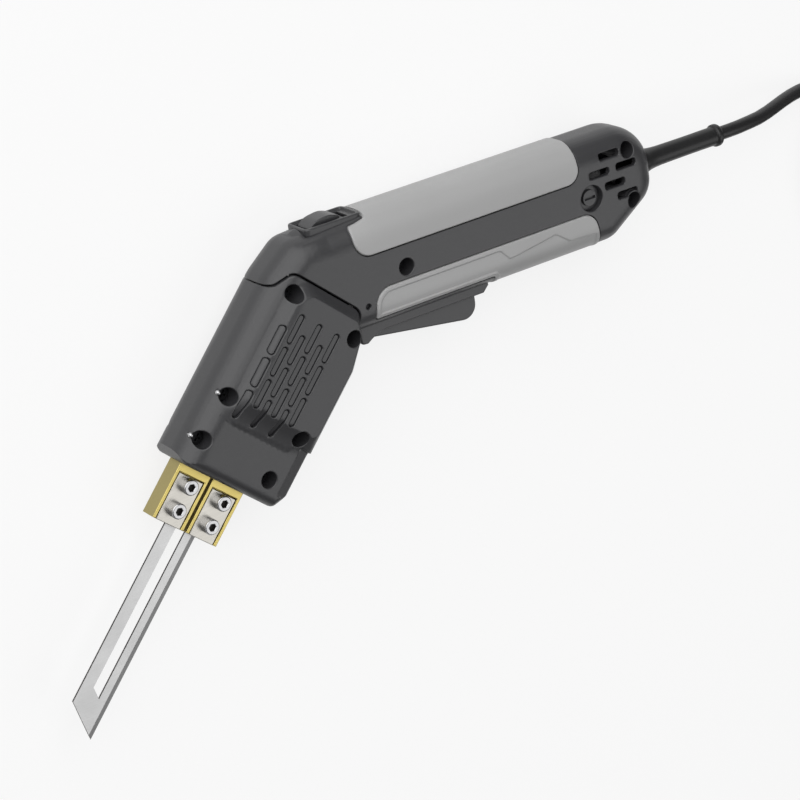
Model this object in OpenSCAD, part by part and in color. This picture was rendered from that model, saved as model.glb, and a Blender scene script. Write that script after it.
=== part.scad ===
// Electric hot knife for cutting foam and rope.
// A pistol-shaped tool whose nose hangs at an angle below its handle. A transformer in
// the nose feeds two brass terminal blocks, and these heat the blade clamped across them.
// The tool lies on its right side: +X runs along the handle towards the cord, +Y towards
// the top of the handle and +Z out of the left side. Sizes are in millimetres.

/* [Housing] */
// Half of the thickness of the handle and of the nose beside its panel
half_w = 15.2; // [14.4:0.2:16.4]
// Height of the vented panel above the side of the nose
panel_h = 4.3; // [3.5:0.1:5.5]
// Wall of the mouldings
wall = 2.5; // [2:0.1:3]
// Radius of the long soft edges
edge_r = 12; // [10:0.5:13]
// Radius of the edges at the front of the nose
nose_edge_r = 5; // [4:0.5:6]
// Angle between the axis of the handle and the axis of the nose
bend = 47.4; // [45:0.2:49]

/* [Handle] */
// Height of the handle above its axis
handle_top = 23.3; // [22.5:0.1:25]
// Depth of the handle below its axis
handle_bottom = 28.2; // [27.5:0.1:30]
// Distance from the elbow to the rear end
handle_len = 180; // [177:0.5:195]
// Depth of the grip pads in the shells
pad_t = 1.6; // [1.2:0.1:1.8]
// Height of the grip pads above the shells
pad_proud = 0.5; // [0.2:0.1:0.8]
// Height of the lower edge of the upper pads
upper_pad_y = 6; // [4:0.5:8]
// Height of the upper edge of the lower pads
lower_pad_y = -9.4; // [-11:0.2:-9]

/* [Nose] */
// Length of the nose from the elbow to its front face
nose_len = 95; // [94:0.5:100]
// Height of the nose above the axis of the blade
nose_up = 25.6; // [25:0.2:27]
// Depth of the nose below the axis of the blade
nose_down = 33; // [32:0.2:35]
// Width of a vent slot
vent_w = 2.6; // [2:0.1:3]
// Length of a vent slot
vent_len = 14.4; // [12:0.2:14.6]
// Depth of the vent slots in the panel
vent_depth = 1.3; // [0.8:0.1:1.6]
// Distance between rows of vent slots
vent_row = 5.1; // [4.6:0.1:5.4]
// Distance between slots in a row
vent_pitch = 15.3; // [15.2:0.1:16]

/* [Blade and clamps] */
// Width of the blade
blade_w = 17; // [16:0.2:18]
// Length of the blade outside the terminal blocks
blade_len = 97.1; // [80:0.5:130]
// Thickness of the blade
blade_t = 1; // [0.6:0.1:1.2]
// Width of the slot between the legs of the blade
blade_slot = 5.2; // [4.8:0.1:6]
// Width of one terminal block
block_w = 17.2; // [16.8:0.1:18]
// Thickness of a terminal block
block_t = 9.2; // [8.4:0.1:9.6]
// Length of a terminal block outside the nose
block_out = 25.7; // [24:0.1:27]
// Gap between the two terminal blocks
block_gap = 1.5; // [1:0.1:2]
// Diameter of a clamp screw
screw_d = 4; // [3:0.1:4]
// Diameter of a clamp screw's head
screw_head_d = 7; // [6.5:0.1:7.4]
// Distance between the two clamp screws of a block
screw_pitch = 11.2; // [10.5:0.1:11.5]

/* [Trigger] */
// Width of the trigger paddle
trigger_w = 12; // [10:0.2:12.4]
// Diameter of the hinge pin
pin_d = 2.4; // [2:0.1:2.6]
// Running gap of the hinge pin in the paddle
pin_gap = 0.05; // [0.03:0.01:0.08]
// Depth of the trigger paddle's rear end below the handle's axis
trigger_drop = 42.6; // [40:0.2:44]

/* [Slide switch] */
// Width of the slide button
button_w = 9.8; // [9:0.2:10.2]
// Height of the slide button's dome above the handle's axis
button_top = 26; // [25:0.1:27]
// Travel of the slide button
button_travel = 3; // [2:0.5:3]

/* [Screws and cord] */
// Diameter of the screw wells in the left side
well_d = 7.5; // [7:0.1:7.8]
// Diameter of the housing screws
case_screw_d = 3.2; // [2.8:0.1:3.4]
// Diameter of the cord
cord_d = 6.5; // [6.5:0.1:6.5]
// Length of the boot outside the handle
boot_len = 48; // [40:1:60]

/* [Hidden] */

$fn = 48;
slack = 0.2;            // gap between a loose piece and its seat
thin = 0.01;            // thickness of the slices that a moulding is lofted from
panel_z = half_w + panel_h;
housing = "#4a4a4b";
grip_grey = "#a4a4a3";
brass = "#cdb46e";
steel = "#d3d3d3";
copper = "#b87348";
rubber = "#26262a";

// Places along and across the nose, measured from its axis towards the trigger side.
parting = 2.6;
panel_from = parting + panel_h;
panel_to = 61;
panel_up = -13;
panel_down = nose_down - 4;
nose_wells = [[10.3, -13.9], [14.6, 22], [61.3, -18.2], [63.2, 22],
    [nose_len - 12.6, -19.5], [nose_len - 10.3, 19]];
handle_wells = [[39.8, -4], [handle_len - 16.2, 13.3], [handle_len - 15.2, -10.9]];
rear_vents = [[-26.8, 14.1], [-18.2, 7.2], [-33.4, 7], [-25.2, 0], [-18.8, -6.4]];
plug_at = [handle_len - 39, -3.1];

// Trigger and switches, in the frame of the handle.
pivot = [18, -15.6];
guide_from = 15.6;
guide_to = 84.6;
guide_bar = 2.2;
guide_low = -handle_bottom - 2.9;
guide_half = trigger_w / 2 + 2.5;
paddle_back = 78.2;
paddle_top = -22.2;
plunger_x = 58;
plunger_d = 4;
plunger_gap = 0.4;
plunger_stroke = 4;
saddle_y = 20.6;
bezel_from = -3;
bezel_to = 25.5;
bezel_half = 8;
bezel_t = 2.6;
slot_from = 0;
slot_to = 21;

// Clamp assembly along the nose.
block_end = nose_len + block_out;
pocket_rim = 1.6;
pocket_from = nose_len + 3.4;
pocket_floor = -blade_t / 2;
block_face = 4.1;
plate_face = 3.7;
screw_rows = [nose_len + 7.5, nose_len + 7.5 + screw_pitch];
block_mid = (block_gap + block_w) / 2;
tip_slope = 0.71;
slot_end = block_end + blade_len - 21;
tail_w = 10;
tail_from = nose_len - 16;

// Transformer, centred on the axis of the nose.
core_from = 20.5;
core_len = 35;
core_w = 36;
core_half = 8.8;
core_mid = 1.5;
leg_w = 11;
yoke = 5;
window_w = (core_w - leg_w - 2 * yoke) / 2;
strap_t = 2;
strap_w = 8;
coil_t = 3.4;
coil_wall = 1;

// Cord: the route is a list of places in the handle's frame, with the height above the
// surface that the tool lies on.
boot_end = handle_len + boot_len;
lie = cord_d / 2;
mid = panel_z;
cord_gap = 0.45;
coil_turns = 7;
coil_turn_back = 3.7;
coil_min_r = 26;
coil_step = cord_d + cord_gap;
coil_start_r = coil_min_r + coil_step * coil_turn_back;
coil_at = [344.5, -coil_start_r];
cord_route = [[boot_end, 0, mid], [boot_end + 6, 0, mid], [boot_end + 12, 0, mid - 0.2], [248, 0, 18.2],
    [255, 0, 16.9], [262, 0.4, 15.1], [269, 1, 12.9], [276, 1.6, 10.6], [283, 2, 8.4], [290, 2.1, 6.5],
    [297, 1.9, 5.1], [304, 1.4, 4.1], [311, 0.8, 3.5], [318, 0.3, lie], [325, 0, lie], [331, 0, lie],
    [coil_at[0] - cord_d, 0, lie]];
loop_rings = 24;
cord_sides = 6;
tail_len = 24;
plug_len = 36;

// The origin stands under the middle of the tool, without its cord.
function nose_xy(n, v) = [-n * cos(bend) + v * sin(bend), -n * sin(bend) - v * cos(bend)];
blade_tip = nose_xy(block_end + blade_len, blade_w / 2);
blade_heel = nose_xy(block_end + blade_len - tip_slope * blade_w, -blade_w / 2);
origin = [(blade_heel[0] + boot_end) / 2, (blade_tip[1] + button_top) / 2];

module placed() translate([-origin[0], -origin[1], panel_z]) children();
module along_nose() placed() rotate([0, 0, 180 + bend]) children();
module mirrored(left) mirror([0, 0, left ? 0 : 1]) children();

// Outlines

function unit(v) = v / norm(v);
function turn(a) = ((a + 540) % 360) - 180;
// One corner of an outline, as an arc from one side to the next. The outline can be inset,
// and an arc that is then used up becomes a single point.
function corner(a, b, c, r, inset) =
    let (u = unit(a - b), w = unit(c - b), half = acos(u * w) / 2, out = unit(u + w) / sin(half))
    r - inset < 0.1 ? [b + out * inset] :
    let (centre = b + out * r, p = u * r / tan(half) - out * r, q = w * r / tan(half) - out * r,
        from = atan2(p[1], p[0]), sweep = turn(atan2(q[1], q[0]) - from), steps = r > 7 ? 6 : 3)
    [for (i = [0:steps]) let (a = from + sweep * i / steps) centre + (r - inset) * [cos(a), sin(a)]];
// An outline from corners given as [x, y, radius].
function rounded(corners, inset = 0) =
    let (count = len(corners), at = [for (c = corners) [c[0], c[1]]])
    [for (i = [0:count - 1])
        each corner(at[(i + count - 1) % count], at[i], at[(i + 1) % count], corners[i][2], inset)];

elbow_corner = nose_xy(12, -nose_up);
elbow_low = nose_xy(60, -nose_up);
handle_corners = [[elbow_low[0], -handle_bottom, 14], [handle_len - 27.5, -handle_bottom, 10],
    [handle_len, -9.3, 11], [handle_len, handle_top, 21], [26, handle_top, 20], [-6, saddle_y + 0.2, 8],
    [elbow_corner[0], elbow_corner[1], 40]];
// The nose is cut out of two outlines: a long one with soft edges, and its own with tight ones.
nose_soft_corners = [[-15, -nose_up, 0], [nose_len + 14, -nose_up, 0], [nose_len + 14, nose_down + 14, 0],
    [-15, nose_down + 14, 0]];
nose_corners = [[-15, -nose_up - 8, 0], [nose_len - 9, -nose_up - 8, 0], [nose_len, -nose_up + 5, 4],
    [nose_len, nose_down - 4, 3], [nose_len - 7, nose_down, 3], [28, nose_down, 4], [-15, 18, 0]];
panel_corners = [[panel_from, panel_up + 6, 4], [panel_from + 6, panel_up, 5], [panel_to, panel_up, 5], [panel_to, panel_down, 4],
    [27, panel_down, 6], [13, panel_down - 3.5, 6], [panel_from, panel_down - 9, 4]];
panel_foot = [[parting, panel_up + 3, 4], [parting + 8, panel_up - 7, 8], [panel_to + 10, panel_up - 7, 6],
    [panel_to + 10, nose_down - 0.2, 4], [27, nose_down - 0.2, 6], [11, nose_down - 4.5, 6],
    [parting, nose_down - 12, 5]];
// Everything on the nose's side of the line where the nose covers meet the handle shells.
parting_outline = rounded([[14, -60, 1], [13.5, -23, 6], [parting, -17.8, 4.5],
    [parting, 21.5, 6], [15.5, 27.5, 5], [22, 60, 1], [140, 60, 1], [140, -60, 1]]);
upper_pad_outline = rounded([[25.8, 40, 1], [25.8, 24.2, 1], [15, 21.5, 3], [15, upper_pad_y, 8.5],
    [handle_len - 44.5, upper_pad_y, 7], [handle_len - 43.5, 40, 1]]);
lower_pad_outline = rounded([[21.6, -23.6, 1.5], [21.6, lower_pad_y, 9],
    [handle_len - 38.5, lower_pad_y, 8], [handle_len - 31.5, -40, 1], [88.6, -40, 1], [86, -23.6, 2]]);

// Mouldings

module slice(corners, inset) linear_extrude(thin) polygon(rounded(corners, inset));
// Half of a moulding with rounded edges, from its middle plane up. An inset from it gives
// the inside of its wall, or the floor of the grip pads.
module half_moulding(corners, edge, inset = 0, below = 0, step = 15) hull() {
    translate([0, 0, -below]) linear_extrude(half_w - edge + below) polygon(rounded(corners, inset));
    for (a = [step:step:90])
        translate([0, 0, half_w - edge + (edge - inset) * sin(a) - thin])
            slice(corners, inset + (edge - inset) * (1 - cos(a)));
}
module handle_solid(inset = 0, below = 0, step = 15)
    half_moulding(handle_corners, edge_r, inset, below, step);
module brow() translate([bezel_from + 0.5, saddle_y - 6, 0]) sphere(r = 10);
module panel_solid(inset = 0) hull() {
    translate([0, 0, 8]) linear_extrude(half_w - 9.2 - inset) polygon(rounded(panel_foot, inset));
    translate([0, 0, panel_z - 1 - inset]) slice(panel_corners, inset);
    translate([0, 0, panel_z - inset - thin]) slice(panel_corners, inset + 0.9);
}
module nose_solid() {
    intersection() {
        half_moulding(nose_soft_corners, edge_r);
        half_moulding(nose_corners, nose_edge_r, 0, 0, 22.5);
    }
    panel_solid();
}
module nose_hollow() {
    intersection() {
        half_moulding(nose_soft_corners, edge_r, wall, 1, 30);
        translate([0, 0, -1]) linear_extrude(half_w - wall + 1) polygon(rounded(nose_corners, wall));
    }
    panel_solid(wall);
}
module past_parting(gap = 0)
    rotate([0, 0, 180 + bend]) translate([0, 0, -2]) linear_extrude(60) offset(delta = gap) polygon(parting_outline);
module column(at, d, from, to) translate([at[0], at[1], from]) cylinder(d = d, h = to - from);
module block(from, to) translate(from) cube(to - from);

// Bosses for the housing screws. The left half has wells for the heads, and the right half
// has the holes that the screws bite in.
boss_d = well_d + 2.4;
head_z = 6;
screw_tip = -9.5;
screw_fit = case_screw_d + 0.1;
module bosses(wells) for (w = wells) column(w, boss_d, 0, 40);
module screw_holes(wells, left) for (w = wells) {
    if (left) {
        column(w, well_d, head_z, 40);
        column(w, screw_fit, -1, head_z + 1);
    } else column(w, screw_fit, -1, -screw_tip + 0.5);
}

module handle_shell(left) placed() mirrored(left) difference() {
    union() {
        handle_solid();
        brow();
    }
    translate([0, 0, -20]) cube([600, 200, 40], center = true);
    difference() {
        handle_solid(wall, 1, 30);
        bosses(handle_wells);
        handle_ribs(left);
    }
    screw_holes(handle_wells, left);
    past_parting();
    pad_recesses();
    for (v = rear_vents) translate([handle_len + v[0], v[1], 0]) rear_vent();
    block([guide_from - slack, -60, -1], [guide_to + slack, paddle_top, guide_half + slack]);
    block([bezel_from - 0.1, saddle_y, -1], [bezel_to + 0.1, 60, bezel_half + 0.1]);
    block([bezel_from + 1.4, 8, -1], [bezel_to - 1.4, 60, 6.2]);
    column(pivot, pin_d + 0.04, -1, 40);
    translate([handle_len - 10, 0, 0]) rotate([0, 90, 0]) cylinder(d = boot_neck_d + 0.1, h = 20);
    if (left) column(plug_at, plug_d, half_w - 4.7, 40);
    else for (y = [-1, 1]) column([clamp_x, y * clamp_post], case_screw_d, 0, clamp_tip + 0.4);
}
// Posts inside the handle that carry the switches, the plug and the cord's clamp.
module handle_ribs(left) {
    column(pivot, 8, guide_half, 40);
    block([plunger_x - 9, -16, 7.1], [plunger_x + 9, -7, 40]);
    block([5, 10, 6.1], [19, 17, 40]);
    block([86, -13, 6.1], [108, -4, 40]);
    if (left) column(plug_at, plug_d + 4, half_w - 7, 40);
    if (!left) for (y = [-1, 1]) column([clamp_x, y * clamp_post], 7, bar_from, 40);
}
module pad_recesses() difference() {
    for (outline = [upper_pad_outline, lower_pad_outline])
        translate([0, 0, -1]) linear_extrude(40) polygon(outline);
    handle_solid(pad_t, 3);
}
module rear_vent() linear_extrude(40) offset(r = 1.2, $fn = 16) square([7, 1], center = true);

module nose_cover(left) along_nose() mirrored(left) difference() {
    intersection() {
        nose_solid();
        translate([0, 0, -1]) linear_extrude(60) polygon(parting_outline);
    }
    difference() {
        nose_hollow();
        bosses(nose_wells);
        nose_ribs();
    }
    screw_holes(nose_wells, left);
    difference() {
        nose_vents();
        panel_solid(vent_depth);
    }
    for (p = dowels) column(p, dowel_d + 0.04, -1, 40);
    keel_chamfer();
    for (side = [-1, 1]) translate([nose_len, side * block_mid, 0])
        cube([30, block_w + slack, 2 * (block_face + (left ? 0.1 : block_t - 2 * block_face + 0.1))], center = true);
}
// Ribs that hold the transformer's core between the two covers.
module nose_ribs() {
    for (n = [core_from + 0.5, core_from + core_len - 3], side = [-1, 1])
        translate([n, core_mid + side * (core_w / 2 - 1.2) - 1.2, core_half + 0.1]) cube([2.5, 2.4, 40]);
    block([plate_from - 2, -20, 2], [plate_from - 0.1, -15.5, 40]);
}
// Slots in rows along the nose. Every second row lies half a step further on.
module nose_vents() for (row = [-3:2], slot = [0:2])
    translate([17.3 + (row % 2 == 0 ? 0 : vent_pitch / 2) + slot * vent_pitch, (row + 0.5) * vent_row + 0.4, 0])
        vent();
module vent() linear_extrude(40) translate([vent_len / 2 - vent_w / 2, 0])
    offset(r = vent_w / 2 - 0.1, $fn = 16) square([vent_len - vent_w, 0.2], center = true);
module keel_chamfer() translate([nose_len - 28, nose_down - 7, half_w]) rotate([-24, 0, 0]) cube([22, 20, 12]);

module grip(outline, left) placed() mirrored(left) difference() {
    intersection() {
        handle_solid(-pad_proud);
        linear_extrude(40) polygon(outline);
    }
    handle_solid(pad_t, 3);
    block([guide_from - slack, -60, -1], [guide_to + slack, paddle_top, guide_half + slack]);
    block([bezel_from - 0.1, saddle_y, -1], [bezel_to + 0.1, 60, bezel_half + 0.1]);
}

module handle_left_shell() color(housing) handle_shell(true);
module handle_right_shell() color(housing) handle_shell(false);
module nose_left_cover() color(housing) nose_cover(true);
module nose_right_cover() color(housing) nose_cover(false);
module upper_left_grip() color(grip_grey) grip(upper_pad_outline, true);
module upper_right_grip() color(grip_grey) grip(upper_pad_outline, false);
module lower_left_grip() color(grip_grey) grip(lower_pad_outline, true);
module lower_right_grip() color(grip_grey) grip(lower_pad_outline, false);

// Trigger

guide_outline = rounded([[guide_from, paddle_top - 2, 0.5], [guide_from, guide_low - 3.5, 1.5],
    [guide_from + 4, guide_low - 3.8, 1.5], [guide_from + 7, guide_low, 4], [guide_to - 3, guide_low, 0.6],
    [guide_to, -handle_bottom, 0.5], [guide_to, paddle_top - 2, 0.5]]);
module trigger_guide() color(housing) placed() difference() {
    translate([0, 0, -guide_half]) linear_extrude(2 * guide_half) polygon(guide_outline);
    block([guide_from + guide_bar - 0.2, -60, -trigger_w / 2 - 0.3],
        [guide_to - guide_bar - 1.5, 0, trigger_w / 2 + 0.3]);
}
paddle_outline = rounded([[20.4, -33.4, 1], [paddle_back, -trigger_drop, 6.5], [paddle_back, paddle_top, 2],
    [22, paddle_top, 2]]);
arm_outline = rounded([[20.4, -30, 1], [30, -30, 1], [30, paddle_top, 1], [22, pivot[1] + 2, 2],
    [pivot[0] - 1, pivot[1] - 1, 1]]);
arm_half = 3.6;
module trigger_paddle() color(housing) placed() difference() {
    union() {
        translate([0, 0, -trigger_w / 2]) linear_extrude(trigger_w) polygon(paddle_outline);
        translate([0, 0, -arm_half]) linear_extrude(2 * arm_half) polygon(arm_outline);
        column(pivot, 8, -arm_half, arm_half);
    }
    column(pivot, pin_d + 2 * pin_gap, -20, 20);
}
module trigger_pin() color(steel) placed() column(pivot, pin_d, -half_w + 1.2, half_w - 1.2);
spring_r = 3.2;
spring_wire = 0.9;
spring_turns = 3.5;
spring_pitch = 1.05;
spring_from = arm_half + spring_wire / 2 + 0.15;
spring_path = concat([[pivot[0] + 14, paddle_top + spring_wire / 2, spring_from],
    [pivot[0] + 7, paddle_top + spring_wire / 2 + 0.5, spring_from]],
    [for (i = [0:12 * spring_turns]) let (a = -90 - i * 30)
        [pivot[0] + spring_r * cos(a), pivot[1] + spring_r * sin(a), spring_from + i / 12 * spring_pitch]],
    [[pivot[0] + 10, pivot[1] + spring_r, spring_from + spring_turns * spring_pitch]]);
module trigger_spring() color(steel) placed() sweep(spring_path, spring_wire / 2, 6);

module trigger_switch() color(rubber) placed() difference() {
    block([plunger_x - 12, -16.3, -7], [plunger_x + 12, -5.2, 7]);
    translate([plunger_x, -18, 0]) rotate([-90, 0, 0]) cylinder(d = plunger_d + 0.1, h = 10);
}
module switch_plunger() color("#8c2f2b") placed()
    translate([plunger_x, paddle_top + plunger_gap, 0]) rotate([-90, 0, 0]) cylinder(d = plunger_d, h = 8);

// Slide switch on top of the handle

module slide_bezel() color(housing) placed() difference() {
    translate([0, saddle_y, 0]) rotate([-90, 0, 0]) linear_extrude(bezel_t)
        polygon(rounded([[bezel_from, -bezel_half, 2.5], [bezel_to, -bezel_half, 2.5],
            [bezel_to, bezel_half, 2.5], [bezel_from, bezel_half, 2.5]]));
    block([slot_from, 0, -button_w / 2 - slack], [slot_to, 60, button_w / 2 + slack]);
    block([bezel_from + 1.6, 0, -button_w / 2 - slack], [bezel_to - 1.6, saddle_y + bezel_t - 1.2, button_w / 2 + slack]);
}
button_outline = rounded([[slot_from + 0.6, saddle_y + 0.2, 0], [slot_from + 16.6, saddle_y + 0.2, 0],
    [slot_from + 16.6, button_top - 2, 2], [slot_from + 9.5, button_top + 0.5, 13],
    [slot_from + 0.6, button_top - 3, 1.5]]);
module slide_button() color(housing) placed() {
    translate([0, 0, -button_w / 2]) linear_extrude(button_w) polygon(button_outline);
    block([bezel_from + 1.7, saddle_y, 0.2 - button_w / 2],
        [slot_to - 0.3, saddle_y + bezel_t - 1.4, button_w / 2 - 0.2]);
    block([slot_from + 6, saddle_y - 4, -1.5], [slot_from + 9, saddle_y + 0.5, 1.5]);
}
module slide_switch() color(rubber) placed() difference() {
    block([slot_from + 2, 9, -6], [slot_from + 20, saddle_y - 1.4, 6]);
    block([slot_from + 5.6, saddle_y - 4.4, -1.8], [slot_from + 9.4 + button_travel, 40, 1.8]);
}

// Transformer and its copper strap

module along_core() along_nose() translate([0, core_mid, 0]) children();
module transformer_core() color("#6d6f74") along_core() difference() {
    block([core_from, -core_w / 2, -core_half], [core_from + core_len, core_w / 2, core_half]);
    for (side = [-1, 1]) translate([core_from + core_len / 2, side * (leg_w + window_w) / 2, 0])
        cube([core_len - 2 * yoke, window_w, 60], center = true);
}
module ring_box(inner, grow, from, to) difference() {
    block([from, -leg_w / 2 - inner - grow, -core_half - inner - grow],
        [to, leg_w / 2 + inner + grow, core_half + inner + grow]);
    block([from - 1, -leg_w / 2 - inner, -core_half - inner], [to + 1, leg_w / 2 + inner, core_half + inner]);
}
module transformer_bobbin() color("#c9b48a") along_core() {
    ring_box(0.1, coil_wall - 0.1, core_from + yoke, core_from + core_len - yoke);
    for (n = [core_from + yoke, core_from + core_len - yoke - 1]) ring_box(0.1, coil_wall + coil_t - 0.1, n, n + 1);
}
module primary_winding() color(copper) along_core()
    ring_box(coil_wall, coil_t - 0.2, core_from + yoke + 1, core_from + core_len - yoke - 1);
strap_in = leg_w / 2 + coil_wall + coil_t + 0.1;
strap_low = core_half + coil_wall + coil_t + 0.1;
bar_z = core_half + 0.2;
module secondary_strap() color("#c9764a") {
    along_core() {
        block([core_from + 14, -strap_in - strap_t, -strap_low - strap_t],
            [core_from + 14 + strap_w, strap_in + strap_t, -strap_low]);
        for (side = [0, 1]) mirror([0, side, 0]) {
            block([core_from + 14, strap_in, -strap_low - 0.5],
                [core_from + 14 + strap_w, strap_in + strap_t, bar_z + strap_t]);
            block([core_from + 14, strap_in, bar_z], [core_from + core_len, strap_in + strap_t, bar_z + strap_t]);
        }
    }
    along_nose() for (side = [-1, 1])
        translate([0, side * block_mid + strap_w / 2, 0]) rotate([90, 0, 0]) difference() {
            linear_extrude(strap_w) polygon(strap_outline);
            translate([tail_from + 4, 0, strap_w / 2]) rotate([90, 0, 0]) cylinder(d = 3.1, h = 60, center = true);
        }
}
strap_outline = [[core_from + core_len - yoke + 0.2, bar_z], [core_from + core_len + 3, bar_z],
    [tail_from - 4, block_face], [tail_from + 8, block_face], [tail_from + 8, block_face + strap_t],
    [tail_from - 3, block_face + strap_t], [core_from + core_len + 4, bar_z + strap_t],
    [core_from + core_len - yoke + 0.2, bar_z + strap_t]];
module strap_screws() color(steel) along_nose() for (side = [-1, 1]) {
    column([tail_from + 4, side * block_mid], 3, block_face - 4, block_face + strap_t + 0.5);
    column([tail_from + 4, side * block_mid], 5.6, block_face + strap_t, block_face + strap_t + 2.2);
}
plate_from = nose_len - wall - 2.4;
module front_plate() color("#d8d2c0") along_nose() difference() {
    block([plate_from, -19, -9], [plate_from + 2.4, 21, 9]);
    for (side = [-1, 1]) translate([plate_from, side * block_mid, block_face - block_t / 2])
        cube([20, tail_w + 0.2, block_t + 0.2], center = true);
}

// Terminal blocks, clamp plates and blade

module terminal_block(side) along_nose() difference() {
    union() {
        block_part(nose_len - wall + 0.1, block_end, block_w, side);
        block_part(tail_from, nose_len - wall + 0.2, tail_w, side);
    }
    translate([pocket_from, side * block_mid - (block_w / 2 - pocket_rim), pocket_floor])
        cube([60, block_w - 2 * pocket_rim, 30]);
    for (n = screw_rows) column([n, side * block_mid], screw_d + 0.1, -20, 20);
    column([tail_from + 4, side * block_mid], 3.1, block_face - 5, 20);
}
module block_part(from, to, width, side)
    block([from, side * block_mid - width / 2, block_face - block_t], [to, side * block_mid + width / 2, block_face]);
module clamp_plate(side) along_nose() difference() {
    block([pocket_from + slack, side * block_mid - block_w / 2 + pocket_rim + 0.1, blade_t / 2],
        [block_end + 0.1, side * block_mid + block_w / 2 - pocket_rim - 0.1, plate_face]);
    for (n = screw_rows) column([n, side * block_mid], screw_d + 0.4, -20, 20);
}
module upper_terminal_block() color(brass) terminal_block(-1);
module lower_terminal_block() color(brass) terminal_block(1);
module upper_clamp_plate() color(steel) clamp_plate(-1);
module lower_clamp_plate() color(steel) clamp_plate(1);
module clamp_screws() color(steel) along_nose() for (side = [-1, 1], n = screw_rows)
    translate([n, side * block_mid, 0]) difference() {
        union() {
            translate([0, 0, block_face - block_t + 0.6]) cylinder(d = screw_d, h = plate_face - block_face + block_t);
            translate([0, 0, plate_face]) cylinder(d = screw_head_d, h = screw_d - 0.4);
            translate([0, 0, plate_face + screw_d - 0.4]) cylinder(d1 = screw_head_d, d2 = screw_head_d - 0.8, h = 0.4, $fn = 48);
        }
        translate([0, 0, plate_face + screw_d - 2.2]) cylinder(d = 3.46, h = 5, $fn = 6);
    }
// The blade is a flat hairpin: two legs with feet under the clamp plates, and a slanted tip.
foot_w = block_w - 2 * pocket_rim - 2;
module blade() color("#c9cacc") along_nose() difference() {
    translate([0, 0, -blade_t / 2]) linear_extrude(blade_t) difference() {
        union() {
            polygon([[pocket_from + 2, -blade_w / 2], [block_end + blade_len - tip_slope * blade_w, -blade_w / 2],
                [block_end + blade_len, blade_w / 2], [pocket_from + 2, blade_w / 2]]);
            for (side = [-1, 1]) translate([pocket_from + 1, side * (block_gap / 2 + pocket_rim + foot_w / 2 + 0.2) - foot_w / 2])
                square([block_end - pocket_from - 1.6, foot_w]);
        }
        polygon([[0, -blade_slot / 2], [slot_end, -blade_slot / 2], [slot_end + tip_slope * blade_slot, blade_slot / 2],
            [0, blade_slot / 2]]);
        for (side = [-1, 1], n = screw_rows) translate([n, side * block_mid]) circle(d = screw_d + 0.4);
    }
    for (up = [0, 1]) mirror([0, 0, up]) translate([block_end + 0.4, blade_w / 2 - bevel_w, blade_t / 2])
        rotate([-bevel_angle, 0, 0]) cube([blade_len + 9, 9, 4]);
}
bevel_w = 2.2;
bevel_angle = atan((blade_t / 2 - 0.08) / bevel_w);

// Fasteners

module case_screw() {
    translate([0, 0, screw_tip]) cylinder(d = case_screw_d, h = head_z - screw_tip + 0.1);
    translate([0, 0, head_z]) difference() {
        cylinder(d = well_d - 1.7, h = 2.2);
        for (a = [0, 90]) rotate([0, 0, a]) translate([0, 0, 2.2]) cube([3.6, 0.9, 2], center = true);
    }
}
module housing_screws() color(steel) {
    placed() for (w = handle_wells) translate([w[0], w[1], 0]) case_screw();
    along_nose() for (w = nose_wells) translate([w[0], w[1], 0]) case_screw();
}
dowel_d = 1.8;
dowels = [nose_wells[2] + [0.5, -4], nose_wells[4] + [0.4, -4]];
function side_z(v) = half_w - edge_r + sqrt(pow(edge_r, 2) - pow(edge_r - nose_up - v, 2));
module dowel_pins() color(steel) along_nose() for (p = dowels) {
    column(p, dowel_d, -side_z(p[1]) + 0.2, side_z(p[1]) - 0.2);
    for (end = [-1, 1]) translate([p[0], p[1], end * (side_z(p[1]) - 0.2)]) sphere(d = dowel_d, $fn = 24);
}
plug_d = 12;
module access_plug() color(housing) placed() translate([plug_at[0], plug_at[1], half_w - 4.7]) difference() {
    union() {
        cylinder(d = plug_d - 0.2, h = 1.8);
        cylinder(d = 7.6, h = 3.2);
    }
    translate([0, 0, 3.2]) cube([6, 1.4, 2.4], center = true);
}

// Wiring inside the handle

module terminal_strip() color("#dcdcd6") placed() difference() {
    block([86, -13, -6], [108, -4, 6]);
    for (x = [91, 97, 103], z = [-2.9, 2.9]) translate([x, -8, z]) rotate([-90, 0, 0]) cylinder(d = 3.4, h = 6, $fn = 24);
}
lead_d = 2.6;
module inner_leads() placed() {
    color(rubber) translate([clamp_x - 8, 0, 0]) rotate([0, 90, 0]) cylinder(d = cord_d, h = boot_end - clamp_x + 8);
    for (side = [-1, 1]) {
        color("#7a4a2c") sweep([[clamp_x - 8, side * 1.5, 0], [136, side * 2 - 1, side], [128, -4, side * 2.4],
            [120, -6.6, side * 2.9], [114, -7.8, side * 2.9], [108.3, -8, side * 2.9]], lead_d / 2, 6);
        color("#3f62a8") sweep([[85.7, -8, side * 2.9], [82, -8.4, side * 3.1], [78, -10, side * 3.3],
            [74, -10.9, side * 3.4], [plunger_x + 12.3, -11, side * 3.4]], lead_d / 2, 6);
        color("#3f62a8") sweep([[50, -4.9, side * 3.4], [49.6, -2, side * 3.4], [47, 3.5, side * 3.4],
            [40, 6.8, side * 3.4], [30, 9.6, side * 3.4], [24, 12, side * 3.4], [20.3, 12.6, side * 3.4]], lead_d / 2, 6);
    }
}
clamp_x = handle_len - 30;
clamp_post = 7.6;
bar_from = 3.3;
bar_to = 6.1;
clamp_tip = 9;
module cord_clamp() color("#dcdcd6") placed() difference() {
    block([clamp_x - 3.5, -11, bar_from], [clamp_x + 3.5, 11, bar_to]);
    for (y = [-1, 1]) column([clamp_x, y * clamp_post], 3.3, 0, 20);
}
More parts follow.
